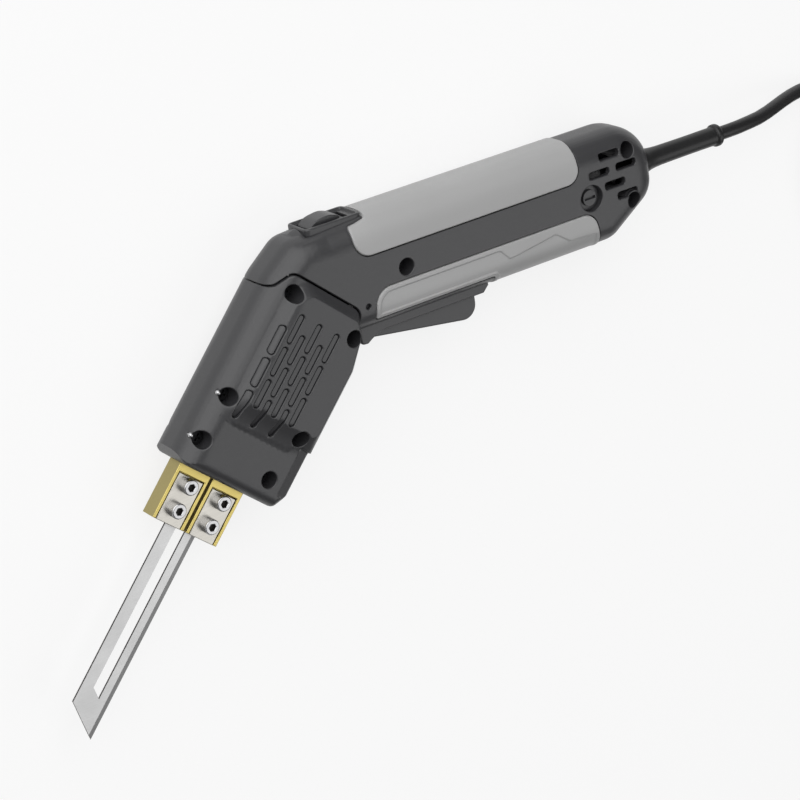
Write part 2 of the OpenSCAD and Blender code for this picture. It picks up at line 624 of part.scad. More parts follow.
module clamp_bar_screws() color(steel) placed() for (y = [-1, 1]) {
    column([clamp_x, y * clamp_post], 3, -clamp_tip, bar_to + 0.1);
    column([clamp_x, y * clamp_post], 5.6, bar_to, bar_to + 1.8);
}

// Boot, cord and plug

boot_neck_d = 10;
module cord_boot() color(rubber) placed() rotate([0, 90, 0]) rotate_extrude() polygon([
    [cord_d / 2, handle_len - 6.4], [6.6, handle_len - 6.4], [6.6, handle_len - 3.9],
    [boot_neck_d / 2, handle_len - 3.9], [boot_neck_d / 2, handle_len + 0.1], [6.2, handle_len + 0.1],
    [6, handle_len + 2.4], [5.2, handle_len + 5], [4.7, handle_len + 9], [4.4, boot_end - 6],
    [5.4, boot_end - 5.4], [5.4, boot_end - 1.6], [4.8, boot_end], [cord_d / 2, boot_end]]);

// A tube along a path. Its rings stand upright.
function direction(path, i) = unit(path[min(i + 1, len(path) - 1)] - path[max(i - 1, 0)]);
function ring(at, along, r, sides) =
    let (across = unit(cross(along, [0, 0, 1])), up = cross(across, along))
    [for (s = [0:sides - 1]) at + r * (cos(s * 360 / sides) * up + sin(s * 360 / sides) * across)];
module sweep(path, r, sides) {
    count = len(path);
    points = [for (i = [0:count - 1]) each ring(path[i], direction(path, i), r, sides)];
    walls = [for (i = [0:count - 2], s = [0:sides - 1], half = [0, 1])
        let (a = i * sides + s, b = i * sides + (s + 1) % sides)
        half == 0 ? [a, a + sides, b + sides] : [a, b + sides, b]];
    ends = [[for (s = [0:sides - 1]) s], [for (s = [sides - 1:-1:0]) (count - 1) * sides + s]];
    polyhedron(points, concat(walls, ends), 4);
}
module on_table() translate([-origin[0], -origin[1], 0]) children();

// The coil winds in on the table, climbs one layer where it turns back, and winds out again.
function coil_r(s) = coil_min_r + coil_step * abs(s - coil_turn_back);
function coil_z(s) = lie + coil_step * min(1, max(0, (s - coil_turn_back) * 2 + 0.5));
function coil_point(s) = [coil_at[0] + coil_r(s) * sin(360 * s), coil_at[1] + coil_r(s) * cos(360 * s), coil_z(s)];
coil_steps = loop_rings * coil_turns;
coil_out = coil_point(coil_turns);
coil_path = concat([[coil_at[0] - cord_d, 0, lie]],
    [for (i = [0:coil_steps]) coil_point(i / loop_rings)],
    [coil_out + [cord_d, 0, 0]]);
module cord_lead() color(rubber) on_table() sweep(cord_route, cord_d / 2, 8);
module cord_coil() color(rubber) on_table() sweep(coil_path, cord_d / 2, cord_sides);
tail_start = coil_out + [cord_d, 0, 0];
plug_from = tail_start[0] + tail_len;
module cord_tail() color(rubber) on_table()
    sweep([tail_start, tail_start + [tail_len / 2, 0, 0], tail_start + [tail_len, 0, 0]], cord_d / 2, 8);
plug_half = tail_start[2];
plug_outline = rounded([[0, -5.5, 1], [12, -7, 6], [18, -13, 6], [plug_len, -13, 3], [plug_len, 13, 3], [18, 13, 6],
    [12, 7, 6], [0, 5.5, 1]]);
module plug_body() color(rubber) on_table() difference() {
    translate([plug_from, tail_start[1], 0]) linear_extrude(2 * plug_half) polygon(plug_outline);
    plug_pin_rods();
}
module plug_pin_rods() for (side = [-1, 1])
    translate([plug_from + plug_len - 8, tail_start[1] + side * 9.5, plug_half]) rotate([0, 90, 0]) cylinder(d = 4, h = 27);
module plug_pins() color(steel) on_table() plug_pin_rods();

// Least gap of the coil to itself, measured between rings that are half a turn or more apart.
coil_gap = min([for (i = [1:len(coil_path) - 2], j = [i + loop_rings / 2:1:len(coil_path) - 2])
    norm(coil_path[i] - coil_path[j])]) - cord_d;
echo(coil_gap = coil_gap);

handle_left_shell();
handle_right_shell();
nose_left_cover();
nose_right_cover();
upper_left_grip();
upper_right_grip();
lower_left_grip();
lower_right_grip();
trigger_guide();
trigger_paddle();
trigger_pin();
trigger_spring();
trigger_switch();
switch_plunger();
slide_bezel();
slide_button();
slide_switch();
transformer_core();
transformer_bobbin();
primary_winding();
secondary_strap();
strap_screws();
front_plate();
upper_terminal_block();
lower_terminal_block();
upper_clamp_plate();
lower_clamp_plate();
clamp_screws();
blade();
housing_screws();
dowel_pins();
access_plug();
terminal_strip();
inner_leads();
cord_clamp();
clamp_bar_screws();
cord_boot();
cord_lead();
cord_coil();
cord_tail();
plug_body();
plug_pins();
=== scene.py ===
"""Looks of an electric hot knife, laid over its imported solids.

Shapes are written in the maker's own frame, in millimetres: x runs along the handle to the
cord, y to the top of the handle and z out of the left side. The nose has a frame of its own,
with n along it and v towards the trigger. A placing matrix then takes each mesh to metres.
"""

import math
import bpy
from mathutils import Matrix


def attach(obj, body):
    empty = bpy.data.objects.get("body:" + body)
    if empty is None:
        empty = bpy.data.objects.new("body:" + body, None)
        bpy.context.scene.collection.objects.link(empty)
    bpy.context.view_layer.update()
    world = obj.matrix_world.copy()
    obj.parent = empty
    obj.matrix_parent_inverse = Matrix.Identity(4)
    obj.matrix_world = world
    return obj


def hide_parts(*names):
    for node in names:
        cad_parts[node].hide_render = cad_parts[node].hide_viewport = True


bl_info = {
    "name": "Electric Hot Knife",
    "version": (1, 0, 0),
    "blender": (4, 5, 0),
    "location": "3D View > Sidebar > Hot Knife",
    "description": "Builds the looks of an electric hot knife over its solids",
    "category": "Object",
}

import bmesh
import bpy
import numpy as np
from bpy.props import FloatProperty, IntProperty, PointerProperty, StringProperty
from mathutils import Matrix, Vector
from mathutils.bvhtree import BVHTree
from mathutils.geometry import delaunay_2d_cdt

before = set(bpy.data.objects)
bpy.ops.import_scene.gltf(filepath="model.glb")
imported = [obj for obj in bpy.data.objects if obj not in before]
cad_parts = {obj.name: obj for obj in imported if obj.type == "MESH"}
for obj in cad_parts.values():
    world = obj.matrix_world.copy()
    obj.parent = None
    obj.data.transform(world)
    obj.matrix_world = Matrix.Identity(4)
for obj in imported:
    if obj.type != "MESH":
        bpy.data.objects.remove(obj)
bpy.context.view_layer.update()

# ---- Sizes shared with the solids, in millimetres ----

HALF_W = 15.2
PANEL_Z = 19.5
WALL = 2.5
EDGE_R = 12.0
NOSE_EDGE_R = 5.0
BEND = math.radians(47.4)
HANDLE_LEN = 180.0
NOSE_LEN = 95.0
PAD_T = 1.6
PAD_PROUD = 0.5
WELL_R = 3.75
BOSS_R = 4.95
SHAFT_R = 1.65
HEAD_Z = 6.0
ORIGIN = (41.2447, -70.0377)
BLOCK_END = NOSE_LEN + 25.7
BLOCK_MID = 9.35
SCREW_ROWS = (102.5, 113.7)
BLADE_LEN = 97.1
CORD_R = 3.25
BOOT_END = 228.0
SADDLE_Y = 20.6
GUIDE_Z = 8.7
BEZEL_Z = 8.1
SLOT_Z = 6.2
PAD_LIP = 0.3
VENT_BOSS_SINK = 1.8


def nose_xy(n, v):
    """A place on the nose, in the handle's frame."""
    return (
        -n * math.cos(BEND) + v * math.sin(BEND),
        -n * math.sin(BEND) - v * math.cos(BEND),
    )


ELBOW = nose_xy(9.5, -25.6)
ELBOW_LOW = nose_xy(60, -25.6)
HANDLE = [
    (ELBOW_LOW[0], -28.2, 14), (154.5, -28.2, 13), (180.2, -11.5, 14), (180, 23.3, 21),
    (26, 23.3, 20), (-11, 21.4, 12), (ELBOW[0], ELBOW[1], 30),
]
NOSE_SOFT = [(-15, -25.6, 0), (109, -25.6, 0), (109, 47, 0), (-15, 47, 0)]
NOSE = [
    (-15, -33.6, 0), (86, -33.6, 0), (95, -20.6, 4), (95, 29, 3), (88, 33, 3), (28, 33, 4), (-15, 18, 0),
]
PANEL = [
    (6.9, -7, 4), (12.9, -13, 5), (61, -13, 5), (61, 29, 4), (27, 29, 6), (13, 25.5, 6), (6.9, 20, 4),
]
PANEL_FOOT = [
    (2.6, -10, 4), (10.6, -20, 8), (71, -20, 6), (71, 32.8, 4), (27, 32.8, 6), (11, 28.5, 6), (2.6, 21, 5),
]
PARTING = [
    (14, -60, 1), (13.5, -23, 6), (2.6, -17.8, 4.5), (2.6, 21.5, 6), (15.5, 27.5, 5), (22, 60, 1),
    (140, 60, 1), (140, -60, 1),
]
UPPER_PAD = [
    (25.8, 40, 1), (25.8, 21.9, 1.8), (15.4, 20.4, 2.2), (15, 6, 8.5), (135.5, 6, 7), (136.5, 40, 1),
]
LOWER_PAD = [
    (21.6, -23.6, 1.5), (21.6, -9.4, 9), (141.5, -9.4, 8), (148.5, -40, 1), (88.6, -40, 1), (86, -23.6, 2),
]
NOSE_WELLS = [(10.3, -13.9), (14.6, 22), (61.3, -18.2), (63.2, 22), (82.4, -19.5), (84.7, 19)]
HANDLE_WELLS = [(39.8, -4), (163.8, 13.3), (164.8, -10.9)]
REAR_VENTS = [(153.2, 14.1), (161.8, 7.2), (146.6, 7), (154.8, 0), (161.2, -6.4)]
DOWELS = [(61.8, -22.2), (82.8, -23.5)]
REAR_VENT = (11.2, 3.4, 1.2)
PIVOT = (18, -15.6)
PIN_HOLE_R = 1.22
PLUG_AT = (141, -3.1)
PLUG_SEAT_R = 6
PLUG_SEAT_Z = HALF_W - 4.7
BROW = (-2.0, 13.4, 10.0)

# The regions of a plan, each with its own heights above and below. Posts count up from POST.
SKIN, RECESS, WELL, SEAT, BOSS, POST = range(1, 7)
SLOT, MOUTH, PAD_MOUTH, SADDLE, PAD_SLOT, MOUTH_BOSS, VENT_BOSS = range(20, 27)

PLACED = Matrix.Scale(0.001, 4) @ Matrix.Translation((-ORIGIN[0], -ORIGIN[1], PANEL_Z))
ON_NOSE = PLACED @ Matrix.Rotation(math.pi + BEND, 4, "Z")
ON_TABLE = Matrix.Scale(0.001, 4) @ Matrix.Translation((-ORIGIN[0], -ORIGIN[1], 0))
FLIPPED = Matrix.Diagonal((1, 1, -1, 1))


def metres(x, y, z):
    """A point of the handle's frame, with z above the table, in metres."""
    return ON_TABLE @ Vector((x, y, z))


# ---- Outlines ----


def unit(v):
    """A vector of the same direction and length one."""
    return v / np.linalg.norm(v)


def outline(corners, inset=0.0, chord=1.2):
    """The points of an outline whose corners are (x, y, radius), moved inward by inset."""
    at = [np.array(c[:2], float) for c in corners]
    count = len(at)
    area = sum(at[i - 1][0] * at[i][1] - at[i][0] * at[i - 1][1] for i in range(count))
    points = []
    for i in range(count):
        a, b, c = at[i - 1], at[i], at[(i + 1) % count]
        radius = corners[i][2]
        u, w = unit(a - b), unit(c - b)
        half = math.acos(max(-1.0, min(1.0, float(u @ w)))) / 2
        out = unit(u + w) / math.sin(half)
        convex = (b - a)[0] * (c - b)[1] - (b - a)[1] * (c - b)[0]
        side = 1 if convex * area > 0 else -1
        left = radius - side * inset
        if left < 0.05:
            points.append(b + side * out * inset)
            continue
        p, q = u / math.tan(half) - out, w / math.tan(half) - out
        first = math.atan2(p[1], p[0])
        sweep = (math.atan2(q[1], q[0]) - first + 3 * math.pi) % (2 * math.pi) - math.pi
        steps = max(3, math.ceil(abs(sweep) * max(radius, 2.5) / chord))
        centre = b + out * radius
        for k in range(steps + 1):
            angle = first + sweep * k / steps
            points.append(centre + left * np.array((math.cos(angle), math.sin(angle))))
    return np.array(points)


def circle(x, y, radius, count=40):
    """Points round a middle."""
    turns = np.arange(count) * 2 * math.pi / count
    return np.stack([x + radius * np.cos(turns), y + radius * np.sin(turns)], 1)


def oblong(x, y, length, width, radius):
    """Corners of a rounded rectangle about a middle."""
    a, b = length / 2, width / 2
    return [(x - a, y - b, radius), (x + a, y - b, radius), (x + a, y + b, radius), (x - a, y + b, radius)]


def rectangle(x0, y0, x1, y1):
    """Corners of a rectangle, all sharp."""
    return [(x0, y0, 0), (x1, y0, 0), (x1, y1, 0), (x0, y1, 0)]


def box(x0, y0, x1, y1):
    """The outline of a rectangle."""
    return outline(rectangle(x0, y0, x1, y1))


def depth_in(points, polygon):
    """How deep each point lies inside a polygon. Outside, it is negative."""
    a = polygon
    b = np.roll(polygon, -1, 0)
    keep = np.linalg.norm(b - a, axis=1) > 1e-9
    a, b = a[keep], b[keep]
    found = np.empty(len(points))
    for start in range(0, len(points), 2000):
        p = points[start:start + 2000, None]
        ab = b - a
        t = np.clip(((p - a) * ab).sum(2) / (ab * ab).sum(1), 0, 1)
        near = np.sqrt(((p - a - t[..., None] * ab) ** 2).sum(2).min(1))
        over = (a[:, 1] > p[..., 1]) != (b[:, 1] > p[..., 1])
        rise = np.where(np.abs(ab[:, 1]) < 1e-12, 1e-12, ab[:, 1])
        crossing = over & (p[..., 0] < ab[:, 0] * (p[..., 1] - a[:, 1]) / rise + a[:, 0])
        inside = crossing.sum(1) % 2 == 1
        found[start:start + 2000] = np.where(inside, near, -near)
    return found


def away_from(points, shape):
    """Distance outside a shape, which is negative within it."""
    return -depth_in(points, shape)


def paint(found, points, region, shapes, over=None):
    """Gives a region to the points inside some shapes, or only to those that had the region over."""
    for shape in shapes:
        inside = depth_in(points, shape) > 0
        found[inside if over is None else inside & (found == over)] = region
    return found


def painted(points, *layers):
    """The region of each point, from pairs of a region and its shapes. Later pairs lie on top."""
    found = np.zeros(len(points), int)
    for region, shapes in layers:
        paint(found, points, region, shapes)
    return found


def eased(x):
    """A step from 0 to 1 that leaves and arrives level."""
    return x * x * (3 - 2 * x)


def round_drop(away, radius):
    """How far a rounded rim has fallen at a distance from its edge."""
    left = np.clip(radius - np.maximum(away, 0), 0, radius)
    return radius - np.sqrt(np.maximum(radius**2 - left**2, 0))


def moulded(depth, edge, inset=0.0):
    """Height of a moulding with rounded edges over its middle plane."""
    radius = edge - inset
    left = np.clip(radius - np.maximum(depth - inset, 0), 0, radius)
    return HALF_W - edge + np.sqrt(np.maximum(radius**2 - left**2, 0))


def steps_of(radius, degrees=10.0):
    """Insets at which a rounded edge of this radius turns by equal steps."""
    return [radius * (1 - math.cos(math.radians(a))) for a in np.arange(0, 90.01, degrees)]


# ---- Meshes ----


def plain_mesh(name, points, faces, placing):
    """A closed mesh from points in millimetres, with its faces turned outward."""
    work = bmesh.new()
    verts = [work.verts.new(p) for p in points]
    for face in faces:
        if len(set(face)) > 2:
            try:
                work.faces.new([verts[i] for i in dict.fromkeys(face)])
            except ValueError:
                pass
    bmesh.ops.delete(work, geom=[v for v in work.verts if not v.link_faces], context="VERTS")
    bmesh.ops.transform(work, matrix=placing, verts=work.verts)
    bmesh.ops.remove_doubles(work, verts=work.verts, dist=1e-7)
    bmesh.ops.recalc_face_normals(work, faces=work.faces)
    mesh = bpy.data.meshes.new(name)
    work.to_mesh(mesh)
    work.free()
    return mesh


def relief(curves, region_of, surfaces, grid=3.0, area=None):
    """Points and faces of a solid that lies between two heights over a plan.

    The curves become edges of the plan. region_of gives each triangle's middle a region, and
    0 is empty. surfaces gives a function from a region to its highest and lowest surface at an
    array of points. Where regions meet at different heights, an upright wall joins them.
    """
    loops = [np.asarray(c, float) for c in curves]
    points, edges = [], []
    for loop in loops:
        dense = []
        for i in range(len(loop)):
            a, b = loop[i], loop[(i + 1) % len(loop)]
            parts = max(1, math.ceil(np.linalg.norm(b - a) / grid))
            dense += [a + (b - a) * k / parts for k in range(parts)]
        start = len(points)
        points += dense
        edges += [(start + i, start + (i + 1) % len(dense)) for i in range(len(dense))]
    if area:
        xs, ys = np.arange(area[0], area[2], grid), np.arange(area[1], area[3], grid)
        lattice = np.array([(x + (j % 2) * grid / 2, y) for j, y in enumerate(ys) for x in xs])
        near = np.full(len(lattice), 1e9)
        known = np.array(points)
        for start in range(0, len(lattice), 1000):
            gap = lattice[start:start + 1000, None] - known
            near[start:start + 1000] = (gap**2).sum(2).min(1)
        points += list(lattice[near > (0.45 * grid) ** 2])
    flat, _, triangles, *_ = delaunay_2d_cdt([Vector(p) for p in points], edges, [], 0, 1e-4)
    flat = np.array([tuple(p) for p in flat])
    triangles = np.array(triangles)
    middle = flat[triangles].mean(1)
    regions = region_of(middle)
    surface = surfaces(flat)
    heights = {r: surface(r) for r in set(regions.tolist()) if r}
    made, solid, faces = {}, [], []

    def vertex(i, z):
        key = (i, round(float(z), 3))
        if key not in made:
            made[key] = len(solid)
            solid.append((flat[i][0], flat[i][1], key[1]))
        return made[key]

    sides = {}
    for t, r in zip(triangles.tolist(), regions.tolist()):
        if not r:
            continue
        high, low = heights[r]
        faces.append([vertex(i, high[i]) for i in t])
        faces.append([vertex(i, low[i]) for i in reversed(t)])
        for i in range(3):
            sides.setdefault(tuple(sorted((t[i], t[(i + 1) % 3]))), []).append(r)
    for (a, b), owners in sides.items():
        if len(owners) == 1:
            pairs = [heights[owners[0]]]
        elif owners[0] != owners[1]:
            pairs = list(zip(heights[owners[0]], heights[owners[1]]))
        else:
            continue
        for one, two in pairs:
            wall = [vertex(a, one[a]), vertex(b, one[b]), vertex(b, two[b]), vertex(a, two[a])]
            if len(set(wall)) > 2:
                faces.append(wall)
    return solid, faces


def revolved(profile, count=64):
    """Points and faces of a profile of (radius, height) turned about z."""
    points, faces = [], []
    for k in range(count):
        turn = 2 * math.pi * k / count
        points += [(r * math.cos(turn), r * math.sin(turn), z) for r, z in profile]
    size = len(profile)
    for k in range(count):
        for i in range(size):
            j, l = (i + 1) % size, (k + 1) % count
            faces.append([k * size + i, l * size + i, l * size + j, k * size + j])
    return points, faces


def thing_of(name, data):
    """An object of some data, linked to the scene."""
    thing = bpy.data.objects.new(name, data)
    bpy.context.scene.collection.objects.link(thing)
    return thing


def joined(solids):
    """Points and faces of several solids as one, each moved to its own (x, y)."""
    points, faces = [], []
    for (more, sides), (dx, dy) in solids:
        faces += [[i + len(points) for i in f] for f in sides]
        points += [(x + dx, y + dy, z) for x, y, z in more]
    return points, faces


def piece(name, solid, placing, finish, *replaces, slot=None, body="housing", sharp=38):
    """A solid's points and faces as a shaded piece that rides on a body and stands for CAD nodes."""
    mesh = plain_mesh(name, *solid, placing)
    thing = thing_of(name, mesh)
    mesh.shade_smooth()
    mesh.set_sharp_from_angle(angle=math.radians(sharp))
    mesh.materials.append(finish_of(finish))
    even = thing.modifiers.new("even_normals", "WEIGHTED_NORMAL")
    even.keep_sharp = True
    even.weight = 60
    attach(thing, body)
    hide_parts(*replaces)
    return thing


def sided(left):
    """The name of a side, and what mirrors a piece of the left side onto it."""
    return ("left", Matrix()) if left else ("right", FLIPPED)


def part_finish(thing, key, chosen):
    """Gives another finish to the faces of a nose piece that chosen picks, by middle and normal."""
    mesh, back = thing.data, ON_NOSE.inverted()
    mesh.materials.append(finish_of(key))
    for face in mesh.polygons:
        if chosen(back @ face.center, face.normal):
            face.material_index = len(mesh.materials) - 1


# ---- Materials ----


def linear(hex_colour):
    """An sRGB colour such as #808080, in linear light."""
    parts = [int(hex_colour[i:i + 2], 16) / 255 for i in (1, 3, 5)]
    return tuple(c / 12.92 if c <= 0.04045 else ((c + 0.055) / 1.055) ** 2.4 for c in parts) + (1.0,)


def add(tree, kind, settings=None, **sockets):
    """Adds a node with its settings, and sets or links its inputs, by name or as i and a number."""
    made = tree.nodes.new(kind)
    for key, value in (settings or {}).items():
        setattr(made, key, value)
    for key, value in sockets.items():
        numbered = key[0] == "i" and key[1:].isdigit()
        socket = made.inputs[int(key[1:]) if numbered else key.replace("_", " ")]
        if isinstance(value, bpy.types.NodeSocket):
            tree.links.new(value, socket)
        else:
            socket.default_value = value
    return made


def blank(name):
    """An empty material with its output, and the object's own coordinates in metres."""
    made = bpy.data.materials.new(name)
    made.use_nodes = True
    tree = made.node_tree
    tree.nodes.clear()
    place = add(tree, "ShaderNodeTexCoord").outputs["Object"]
    return made, tree, place


def close(tree, shader):
    """Ends a material in a shader."""
    add(tree, "ShaderNodeOutputMaterial", Surface=shader.outputs[0])


def spread(tree, pattern, low, high, **ends):
    """The value of a pattern, mapped to a range."""
    return add(tree, "ShaderNodeMapRange", Value=pattern.outputs["Fac"], To_Min=low, To_Max=high, **ends)


def tinted(tree, colour, tone):
    """A colour times a tone."""
    return add(
        tree, "ShaderNodeMix", {"data_type": "RGBA", "blend_type": "MULTIPLY"},
        i0=1.0, i6=linear(colour), i7=tone.outputs[0],
    )


def finished(tree, shade, pattern, bump, depth=0.0001, **looks):
    """Ends a material in a colour, the fine relief of a pattern and its other looks."""
    height = add(tree, "ShaderNodeBump", Height=pattern.outputs["Fac"], Strength=bump, Distance=depth)
    close(tree, add(
        tree, "ShaderNodeBsdfPrincipled", Base_Color=shade.outputs[2], Normal=height.outputs[0], **looks,
    ))


def moulded_plastic(name, colour, grain_mm, rough, bump=0.12, specular=0.5):
    """Glass-filled nylon or a rubbery overmould from a spark-eroded tool: a fine even grain
    that breaks up highlights, and slow patches where the skin flowed more or less glossy."""
    made, tree, place = blank(name)
    grain = add(tree, "ShaderNodeTexNoise", Vector=place, Scale=1000 / grain_mm, Detail=2.0, Roughness=0.6)
    patches = add(tree, "ShaderNodeTexNoise", Vector=place, Scale=1000 / 45, Detail=2.0)
    shade = tinted(tree, colour, spread(tree, patches, 0.94, 1.06))
    dull = spread(tree, grain, rough - 0.05, rough + 0.05, From_Min=0.3, From_Max=0.7)
    finished(tree, shade, grain, bump, Roughness=dull.outputs[0], Specular_IOR_Level=specular)
    return made


def worked_metal(name, colour, rough, line_mm, along, length_mm=12.0, bump=0.06):
    """Metal with the fine lines of a cutter or a grinding belt, which stretch its highlights.
    The lines run along one direction, and a slow cloud of handling dulls it here and there."""
    made, tree, place = blank(name)
    turned = add(
        tree, "ShaderNodeMapping", {"vector_type": "POINT"}, Vector=place, Rotation=(0, 0, -along),
        Scale=(line_mm / length_mm, 1, 1),
    )
    lines = add(
        tree, "ShaderNodeTexNoise", Vector=turned.outputs[0], Scale=1000 / line_mm, Detail=3.0,
        Roughness=0.7,
    )
    cloud = add(tree, "ShaderNodeTexNoise", Vector=place, Scale=1000 / 14, Detail=3.0)
    shade = tinted(tree, colour, spread(tree, lines, 0.93, 1.05, From_Min=0.3, From_Max=0.7))
    dull = spread(tree, cloud, rough * 0.85, rough * 1.2)
    finished(tree, shade, lines, bump, Metallic=1.0, Roughness=dull.outputs[0])
    return made


def banded(name, light, dark, pitch_mm, direction, rough, metallic):
    """A stack or a winding: thin bands of two tones at the real spacing, each a little raised."""
    made, tree, place = blank(name)
    turned = add(tree, "ShaderNodeMapping", {"vector_type": "POINT"}, Vector=place, Rotation=direction)
    bands = add(
        tree, "ShaderNodeTexWave", {"wave_type": "BANDS", "bands_direction": "Z", "wave_profile": "SIN"},
        Vector=turned.outputs[0], Scale=1000 / pitch_mm / 20 * math.pi, Distortion=0.0,
    )
    shade = add(
        tree, "ShaderNodeMix", {"data_type": "RGBA"},
        i0=bands.outputs["Fac"], i6=linear(dark), i7=linear(light),
    )
    finished(tree, shade, bands, 0.4, 0.0002, Metallic=metallic, Roughness=rough)
    return made


# Each finish's maker and what it is given. A colour is a hex value, or names one of the looks.
FINISHES = {
    # Glass-filled nylon, spark-eroded: dark grey with a soft sheen along its edges.
    "housing": (moulded_plastic, "grained_nylon", "housing", 0.5, 0.38, 0.08, 0.65),
    # Thermoplastic rubber moulded over the shell: paler and duller, smooth to the hand.
    "grip": (moulded_plastic, "overmoulded_rubber", "grip", 0.4, 0.42, 0.06),
    # PVC sheath and boot, extruded and moulded: black with a satin line of light.
    "rubber": (moulded_plastic, "black_pvc", "cord", 0.8, 0.4, 0.05),
    "black": (moulded_plastic, "black_polyester", "#1f1f21", 0.4, 0.42),
    "grey": (moulded_plastic, "grey_polyamide", "#4a4a4b", 0.5, 0.5),
    "red": (moulded_plastic, "red_polyacetal", "#8c2f2b", 0.5, 0.4),
    "card": (moulded_plastic, "pressed_fibre", "#c9b48a", 0.3, 0.75, 0.3),
    # Milled brass bar: warm yellow with a faint cutter line across it.
    "brass": (worked_metal, "milled_brass", "brass", 0.34, 0.25, BEND + 1.57),
    # The block's sides and front end: the same brass painted darker and browner as shade, and duller.
    "drawn": (worked_metal, "drawn_brass", "#ab9f6e", 0.45, 0.3, BEND, 20.0),
    # Plated spring steel, stamped: pale and even.
    "plated": (worked_metal, "nickel_plate", "#c2bfb8", 0.32, 0.3, BEND),
    # Turned and plated screws and pins: bright, with sharp reflections.
    "steel": (worked_metal, "bright_steel", "#bdbdbe", 0.26, 0.3, BEND, 3.0, 0.02),
    # Ground resistance strip: the belt's lines run along the blade.
    "blade": (worked_metal, "ground_strip", "blade", 0.4, 0.18, BEND, 25.0, 0.12),
    # The blade's bevel, ground across it, painted darker as the shade of its tilt.
    "bevel": (worked_metal, "ground_bevel", "#8e8e8e", 0.42, 0.2, BEND + 1.57, 3.0, 0.12),
    # Painted shade: a dark, dull steel on the blade's sides as dark outlines, and in the screws' sockets.
    "edge": (worked_metal, "sheared_edge", "#4c4a48", 0.55, 0.3, BEND, 3.0),
    # The screws down in the wells and the trigger pin: nearly black steel, with a dull gleam.
    "near_black": (worked_metal, "oiled_black_steel", "#2c2c2e", 0.45, 0.3, BEND, 3.0),
    "copper": (worked_metal, "bare_copper", "#c9764a", 0.35, 0.3, BEND),
    "enamel": (banded, "enamelled_wire", "#c0783f", "#7c431d", 0.6, (1.57, 0, 0), 0.3, 0.7),
    "lamination": (banded, "stacked_iron", "#83858a", "#4c4e52", 0.5, (0, 0, 0), 0.5, 0.8),
}

_finishes = {}


def finish_of(key):
    """The material of a finish, made once."""
    if key not in _finishes:
        maker, name, colour, *rest = FINISHES[key]
        _finishes[key] = maker(name, getattr(bpy.context.scene.hot_knife_looks, colour, colour), *rest)
    return _finishes[key]


# ---- Properties ----


def small_size(name, description, default):
    """A property for a length of less than a millimetre."""
    return FloatProperty(name=name, description=description, default=default, unit="LENGTH", precision=5)


class HotKnifeSizes(bpy.types.PropertyGroup):
    """Sizes of the small forms that the solids leave out."""

    gap: small_size("Parting gap", "Half of the gap where two mouldings meet", 0.00038)
    rim: small_size("Rim radius", "Radius of the rims of wells, slots and partings", 0.0005)
    pad_edge: small_size("Pad edge", "Radius of the edges of the grip pads", 0.0008)
    field: small_size("Pad field", "Depth of the sunk field in the lower pads", 0.0006)
    cord_sides: IntProperty(
        name="Cord sides", description="Half of the sides round the cord", default=6, min=3,
    )


class HotKnifeLooks(bpy.types.PropertyGroup):
    """Colours of the finishes, as sRGB hex values."""

    housing: StringProperty(name="Housing", description="Colour of the nylon mouldings", default="#313133")
    grip: StringProperty(name="Grip pads", description="Colour of the rubber pads", default="#a3a3a3")
    cord: StringProperty(name="Cord", description="Colour of the cord and its boot", default="#151516")
    brass: StringProperty(name="Brass", description="Colour of the terminal blocks", default="#cdbb72")
    blade: StringProperty(name="Blade", description="Colour of the blade", default="#cfcfcf")


class HotKnifeLight(bpy.types.PropertyGroup):
    """Levels of the studio light."""

    key: FloatProperty(
        name="Overhead box", description="Power of the box that the flat sides reflect", default=6.3,
    )
    fill: FloatProperty(
        name="Upper box", description="Power of the box above the tool's back", default=36.0,
    )
    sky: FloatProperty(
        name="Surroundings", description="Strength of the light from all round", default=0.12,
    )


def size_of(name):
    """A small size in millimetres."""
    return getattr(bpy.context.scene.hot_knife_sizes, name) * 1000


# ---- Stage and camera ----


def seen_by(tree, mirrored):
    """How much of the white ground a ray sees: all of it from the camera, a share in a reflection."""
    path = add(tree, "ShaderNodeLightPath")
    bounced = add(
        tree, "ShaderNodeMath", {"operation": "MAXIMUM"},
        i0=path.outputs["Is Glossy Ray"], i1=path.outputs["Is Transmission Ray"],
    )
    share = add(tree, "ShaderNodeMath", {"operation": "MULTIPLY"}, i0=bounced.outputs[0], i1=mirrored)
    return add(
        tree, "ShaderNodeMath", {"operation": "MAXIMUM"},
        i0=path.outputs["Is Camera Ray"], i1=share.outputs[0],
    )


